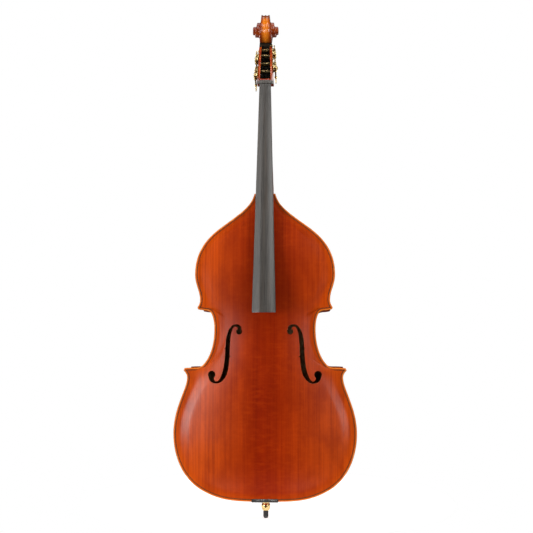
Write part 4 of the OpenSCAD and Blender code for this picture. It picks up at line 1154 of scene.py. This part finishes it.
def scroll():
    ang = np.arange(SCROLL_A0, SCROLL_A1 + SCROLL_STEP / 2, SCROLL_STEP)

    def radius(a):
        return 76 * math.exp(-0.0018 * min(a, EYE_A))

    def width(a):
        return smooth_table(WIDTHS, a)

    def chamfer(a):
        return 1.7 * float(np.clip((930 - a) / 260, 0.0, 1.0))

    def place(a, r, x):
        t = math.radians(a)
        y, z = head_pt(r * math.cos(t), SCROLL_V + r * math.sin(t))
        return (x, y, BODY_Z + z)

    verts, faces, edge = [], [], []

    def add(p, e=0.0):
        verts.append(p)
        edge.append(e)
        return len(verts) - 1

    def grid(rows):
        for r0, r1 in zip(rows[:-1], rows[1:]):
            for i in range(len(r0) - 1):
                faces.append((r0[i], r0[i + 1], r1[i + 1], r1[i]))

    for s in (1, -1):
        rows = []
        for a in ang:
            r, w, c = radius(a), width(a), chamfer(a)
            rows.append([add(place(a, r, s * (w - c)), 1), add(place(a, r - 0.3 * c, s * (w - 0.3 * c)), 1),
                         add(place(a, r - c, s * w), 1)])
        grid(rows)
        rows = []
        for a in ang:
            if a < OUTER_A1:
                continue
            ro, wo, co = radius(a - 360), width(a - 360), chamfer(a - 360)
            ri, wi, ci = radius(a), width(a), chamfer(a)
            row = []
            for k in range(17):
                t = math.pi / 2 * (k / 16) ** 1.3
                f, g = math.sin(t) ** 0.36, 1 - math.cos(t) ** 0.42
                row.append(add(place(a, (ro - co) + (ri - ro + co) * f, s * (wo + (wi - ci - wo) * g)),
                               1.0 if k in (0, 16) else 0.0))
            rows.append(row)
        grid(rows)
        loop = [a for a in ang if a >= EYE_A]
        rows = []
        for k in range(5):
            q = 1 - k / 5
            lift = 1.2 * (1 - q * q)
            rows.append([add(place(a, radius(EYE_A) * q, s * (EYE_HALF + lift))) for a in loop])
        grid(rows)
        centre = add(place(0, 0, s * (EYE_HALF + 1.2)))
        last = rows[-1]
        for i in range(len(last) - 1):
            faces.append((last[i], last[i + 1], centre))
    rows = []
    cols = 32
    for a in [v for v in ang if v <= OUTER_A1]:
        r, w, c = radius(a), width(a), chamfer(a)
        flute = 3.8 * math.sin(math.pi * (a - SCROLL_A0) / 290) ** 0.7 if a < 330 else 0.0
        row = []
        for k in range(cols + 1):
            x = -1 + 2 * k / cols
            ax = abs(x)
            scoop = math.sin(math.pi * min(1, ax / 0.94)) ** 0.9 if ax < 0.94 else 0.0
            dip = flute * (scoop * 0.95 + 0.12 * (1 - ax))
            row.append(add(place(a, r - dip, x * (w - c)), 1.0 if ax > 0.93 else 0.0))
        rows.append(row)
    grid(rows)
    ob = make("scroll_carved", verts, faces, [HEAD], "body", ["scroll"], "maple")
    weld(ob, 4e-6)
    with edited(ob.data) as bm:
        open_edges = [e for e in bm.edges if e.is_boundary]
        bmesh.ops.holes_fill(bm, edges=open_edges, sides=0)
        bmesh.ops.recalc_face_normals(bm, faces=bm.faces)
    sharpen(ob, 46)


scroll()

# ----------------------------------------------------------- tuning machines
for i in (1, 2, 3, 4):
    roller = f"roller_{i}"
    carry(f"tuner_plate_{i}", [BRASS], bevel=0.5, segments=2)
    carry(f"roller_{i}", [BRASS_DARK], bevel=0.3, segments=2, body=roller)
    carry(f"gear_{i}", [BRASS], bevel=0.25, segments=1, body=roller)
    carry(f"gear_screw_{i}", [BRASS_BRIGHT], bevel=0.3, segments=2, body=roller)
    recolour(f"worm_{i}", BRASS)
carry("tuner_screws", [BRASS_BRIGHT], bevel=0.35, segments=2)

ROLLER_U = 20
ROLLER_V = [53, 87, 122, 147]
ROLLER_SIDE = [-1, 1, -1, 1]
BOX_TAPER = 0.0463
TILT = math.atan(BOX_TAPER)
GEAR_X = 8.7
WORM_DROP = 22.25


def tuner_matrix(i):
    m = Matrix.Translation((0, BOX_Y, BODY_Z + BOX_Z)) @ Matrix.Rotation(-LEAN, 4, "X")
    m = m @ Matrix.Translation((0, ROLLER_U, ROLLER_V[i]))
    m = m @ Matrix.Scale(ROLLER_SIDE[i], 4, (1, 0, 0)) @ Matrix.Rotation(-TILT, 4, "Y")
    return m


KEY_TURN = [90, 90, 45, 45]


def key(i):
    """Thumb key: a collar on the shaft and an oval wing, thick in the middle."""
    c = (BOX_HALF - ROLLER_V[i] * BOX_TAPER) * math.cos(TILT)
    place = tuner_matrix(i) @ Matrix.Translation((c + GEAR_X, 60, -WORM_DROP))
    place = place @ Matrix.Rotation(math.radians(KEY_TURN[i]), 4, "Y")
    verts = []
    rim = 56
    for k in range(13):
        t = -math.pi / 2 + math.pi * k / 12
        q = math.cos(t) ** 0.55 if k not in (0, 12) else 0.0
        h = 2.5 * math.sin(t) * (1.0 if abs(math.sin(t)) < 0.99 else 0.9)
        for j in range(rim):
            a = 2 * math.pi * j / rim
            r = 15 * q
            x = r * math.cos(a) * (1 - 0.10 * max(0.0, -math.sin(a)))
            z = 20 + r * math.sin(a)
            verts.append((x, z, h))
    faces = skin(13, rim)
    n = len(verts)
    prof = rounded([(3.02, 0.0), (5, 0.0), (5.6, 1.6), (5, 3.4), (3.6, 5), (4.2, 8), (3.2, 12), (0.01, 12),
                    (0.01, 2.1), (3.02, 2.1)],
                   [0, 0.5, 0.8, 0.8, 1, 1, 0.8, 0, 0, 0], 3)
    lv, lf = lathe(prof, 40)
    verts += [(x, z, y) for x, y, z in lv]
    faces += [tuple(n + q for q in f) for f in lf]
    pts = [place @ Vector((x, y, z)) for x, y, z in verts]
    ob = make(f"key_{i + 1}_shaped", pts, faces, [BRASS_BRIGHT], f"worm_{i + 1}", [f"key_{i + 1}"], "brass")
    weld(ob, 1e-6)
    sharpen(ob, 50)


for i in range(4):
    key(i)


# ------------------------------------------------------------------- endpin
def turned(name, node, profile, radii, mat, body, slot, sharp=42):
    v, f = lathe(rounded(profile, radii), 96)
    ob = make(name, v, f, [mat], body, [node], slot)
    weld(ob, 1e-6)
    sharpen(ob, sharp)


turned("endpin_collar", "endpin_plug",
       [(5.3, 62), (12.6, 62), (15.2, 65), (16.5, 69), (16.5, 77.5), (15, 78.4), (15, 81), (12.5, 122),
        (5.3, 122)],
       [0, 0.8, 2, 1.6, 0.8, 0.4, 0, 0.8, 0], SOCKET, "body", "rosewood")
turned("endpin_ball", "endpin_ferrule",
       [(5.06, 27.3), (9.6, 27.3), (12.4, 29.4), (15.3, 34.5), (16.6, 42), (16.2, 50), (13.6, 54.5),
        (13.6, 56.2), (15.4, 57.2), (15.4, 60.6), (14.4, 62), (5.06, 62)],
       [0, 0.8, 1.4, 2.6, 3.4, 2.6, 0.8, 0.8, 0.5, 0.6, 0.5, 0], BRASS_BRIGHT, "body", "brass", 60)
turned("endpin_rubber_tip", "endpin_tip",
       [(0.01, 0), (6.2, 0), (8.6, 3.4), (9.5, 8), (9.5, 14.2), (8.9, 15), (9.5, 15.8), (9.5, 25), (8.5, 27),
        (5.05, 27), (5.05, 8.02), (0.01, 8.02)],
       [0, 1.6, 1.4, 0.8, 0.4, 0.3, 0.4, 0.8, 0.6, 0.4, 0, 0], RUBBER, "endpin", "rubber", 50)
recolour("endpin_rod", STEEL)
carry("endpin_screw", [BRASS_BRIGHT], bevel=0.7, segments=3, body="endpin_screw")

for node in ("neck_block", "end_block", "top_linings", "back_linings", "bass_bar", "sound_post"):
    recolour(node, SPRUCE_RAW)

# -------------------------------------------------------------------- stage
WHITE = (1, 1, 1, 1)
floor_me = bpy.data.meshes.new("floor")
with edited(floor_me) as bm:
    bmesh.ops.create_circle(bm, cap_ends=True, segments=128, radius=0.75)
floor = link_new("floor", floor_me)
floor.location = (0, 0.4, 0)
fs = Shade("floor_pale", rough=0.85, spec=0.15, Emission_Color=WHITE, Emission_Strength=0.85)
fn = fs.grain((2, 2, 2), 2.0)
floor_me.materials.append(fs.finish(fs.mix(fn, (0.48, 0.48, 0.48), (0.52, 0.52, 0.52))))

world = bpy.data.worlds.new("studio")
bpy.context.scene.world = world
world.use_nodes = True
wt = world.node_tree
lit = wt.nodes["Background"]
seen = wt.nodes.new("ShaderNodeBackground")
for shader, strength in ((lit, 0.05), (seen, 1.0)):
    shader.inputs["Color"].default_value = WHITE
    shader.inputs["Strength"].default_value = strength
path = wt.nodes.new("ShaderNodeLightPath")
mixer = wt.nodes.new("ShaderNodeMixShader")
wt.links.new(path.outputs["Is Camera Ray"], mixer.inputs[0])
wt.links.new(lit.outputs[0], mixer.inputs[1])
wt.links.new(seen.outputs[0], mixer.inputs[2])
wt.links.new(mixer.outputs[0], wt.nodes["World Output"].inputs["Surface"])


def softbox(name, place, aim, size, power):
    data = bpy.data.lights.new(name, "AREA")
    data.shape = "RECTANGLE"
    data.size, data.size_y = size
    data.energy = power
    ob = link_new(name, data)
    ob.location = place
    ob.rotation_euler = (Vector(aim) - Vector(place)).to_track_quat("-Z", "Y").to_euler()
    ob.visible_camera = False


softbox("left_low", (-2.25, -2.35, 0.62), (-0.1, 0, 0.45), (1.2, 1.2), 60)
softbox("left_high", (-2.3, -2.3, 2.8), (0, 0, 1.1), (1.9, 1.5), 35)
softbox("right_high", (1.95, -2.7, 2.85), (0, 0, 1.2), (1.2, 1.4), 44)
softbox("right_low", (2.3, -2.35, 0.62), (0.1, 0, 0.45), (0.9, 0.9), 22)
softbox("right_fill", (2.9, -1.5, 1.1), (0, 0, 0.8), (0.7, 1.4), 14)
softbox("head_left", (-0.42, -1.3, 2.75), (0, 0, 1.86), (0.07, 1.2), 3.5)
softbox("head_right", (0.36, -1.3, 2.75), (0, 0, 1.86), (0.07, 1.2), 3)
softbox("overhead", (0.0, 0.0, 7.5), (0, 0.0, 0), (5.0, 5.0), 150)
softbox("rear_left", (-2.2, 2.2, 1.9), (0, 0, 0.9), (1.0, 2.0), 30)
softbox("rear_right", (2.2, 2.2, 1.9), (0, 0, 0.9), (1.0, 2.0), 30)

cam_data = bpy.data.cameras.new("camera")
cam_data.lens = 58.4
cam_data.sensor_width = 36
cam = link_new("camera", cam_data)
cam.location = (0.1152, -3.253, 0.6383)
cam.rotation_euler = (math.radians(95.122), 0, math.radians(1.986))
bpy.context.scene.camera = cam
bpy.context.scene.view_settings.view_transform = "Standard"
bpy.context.scene.view_settings.look = "None"
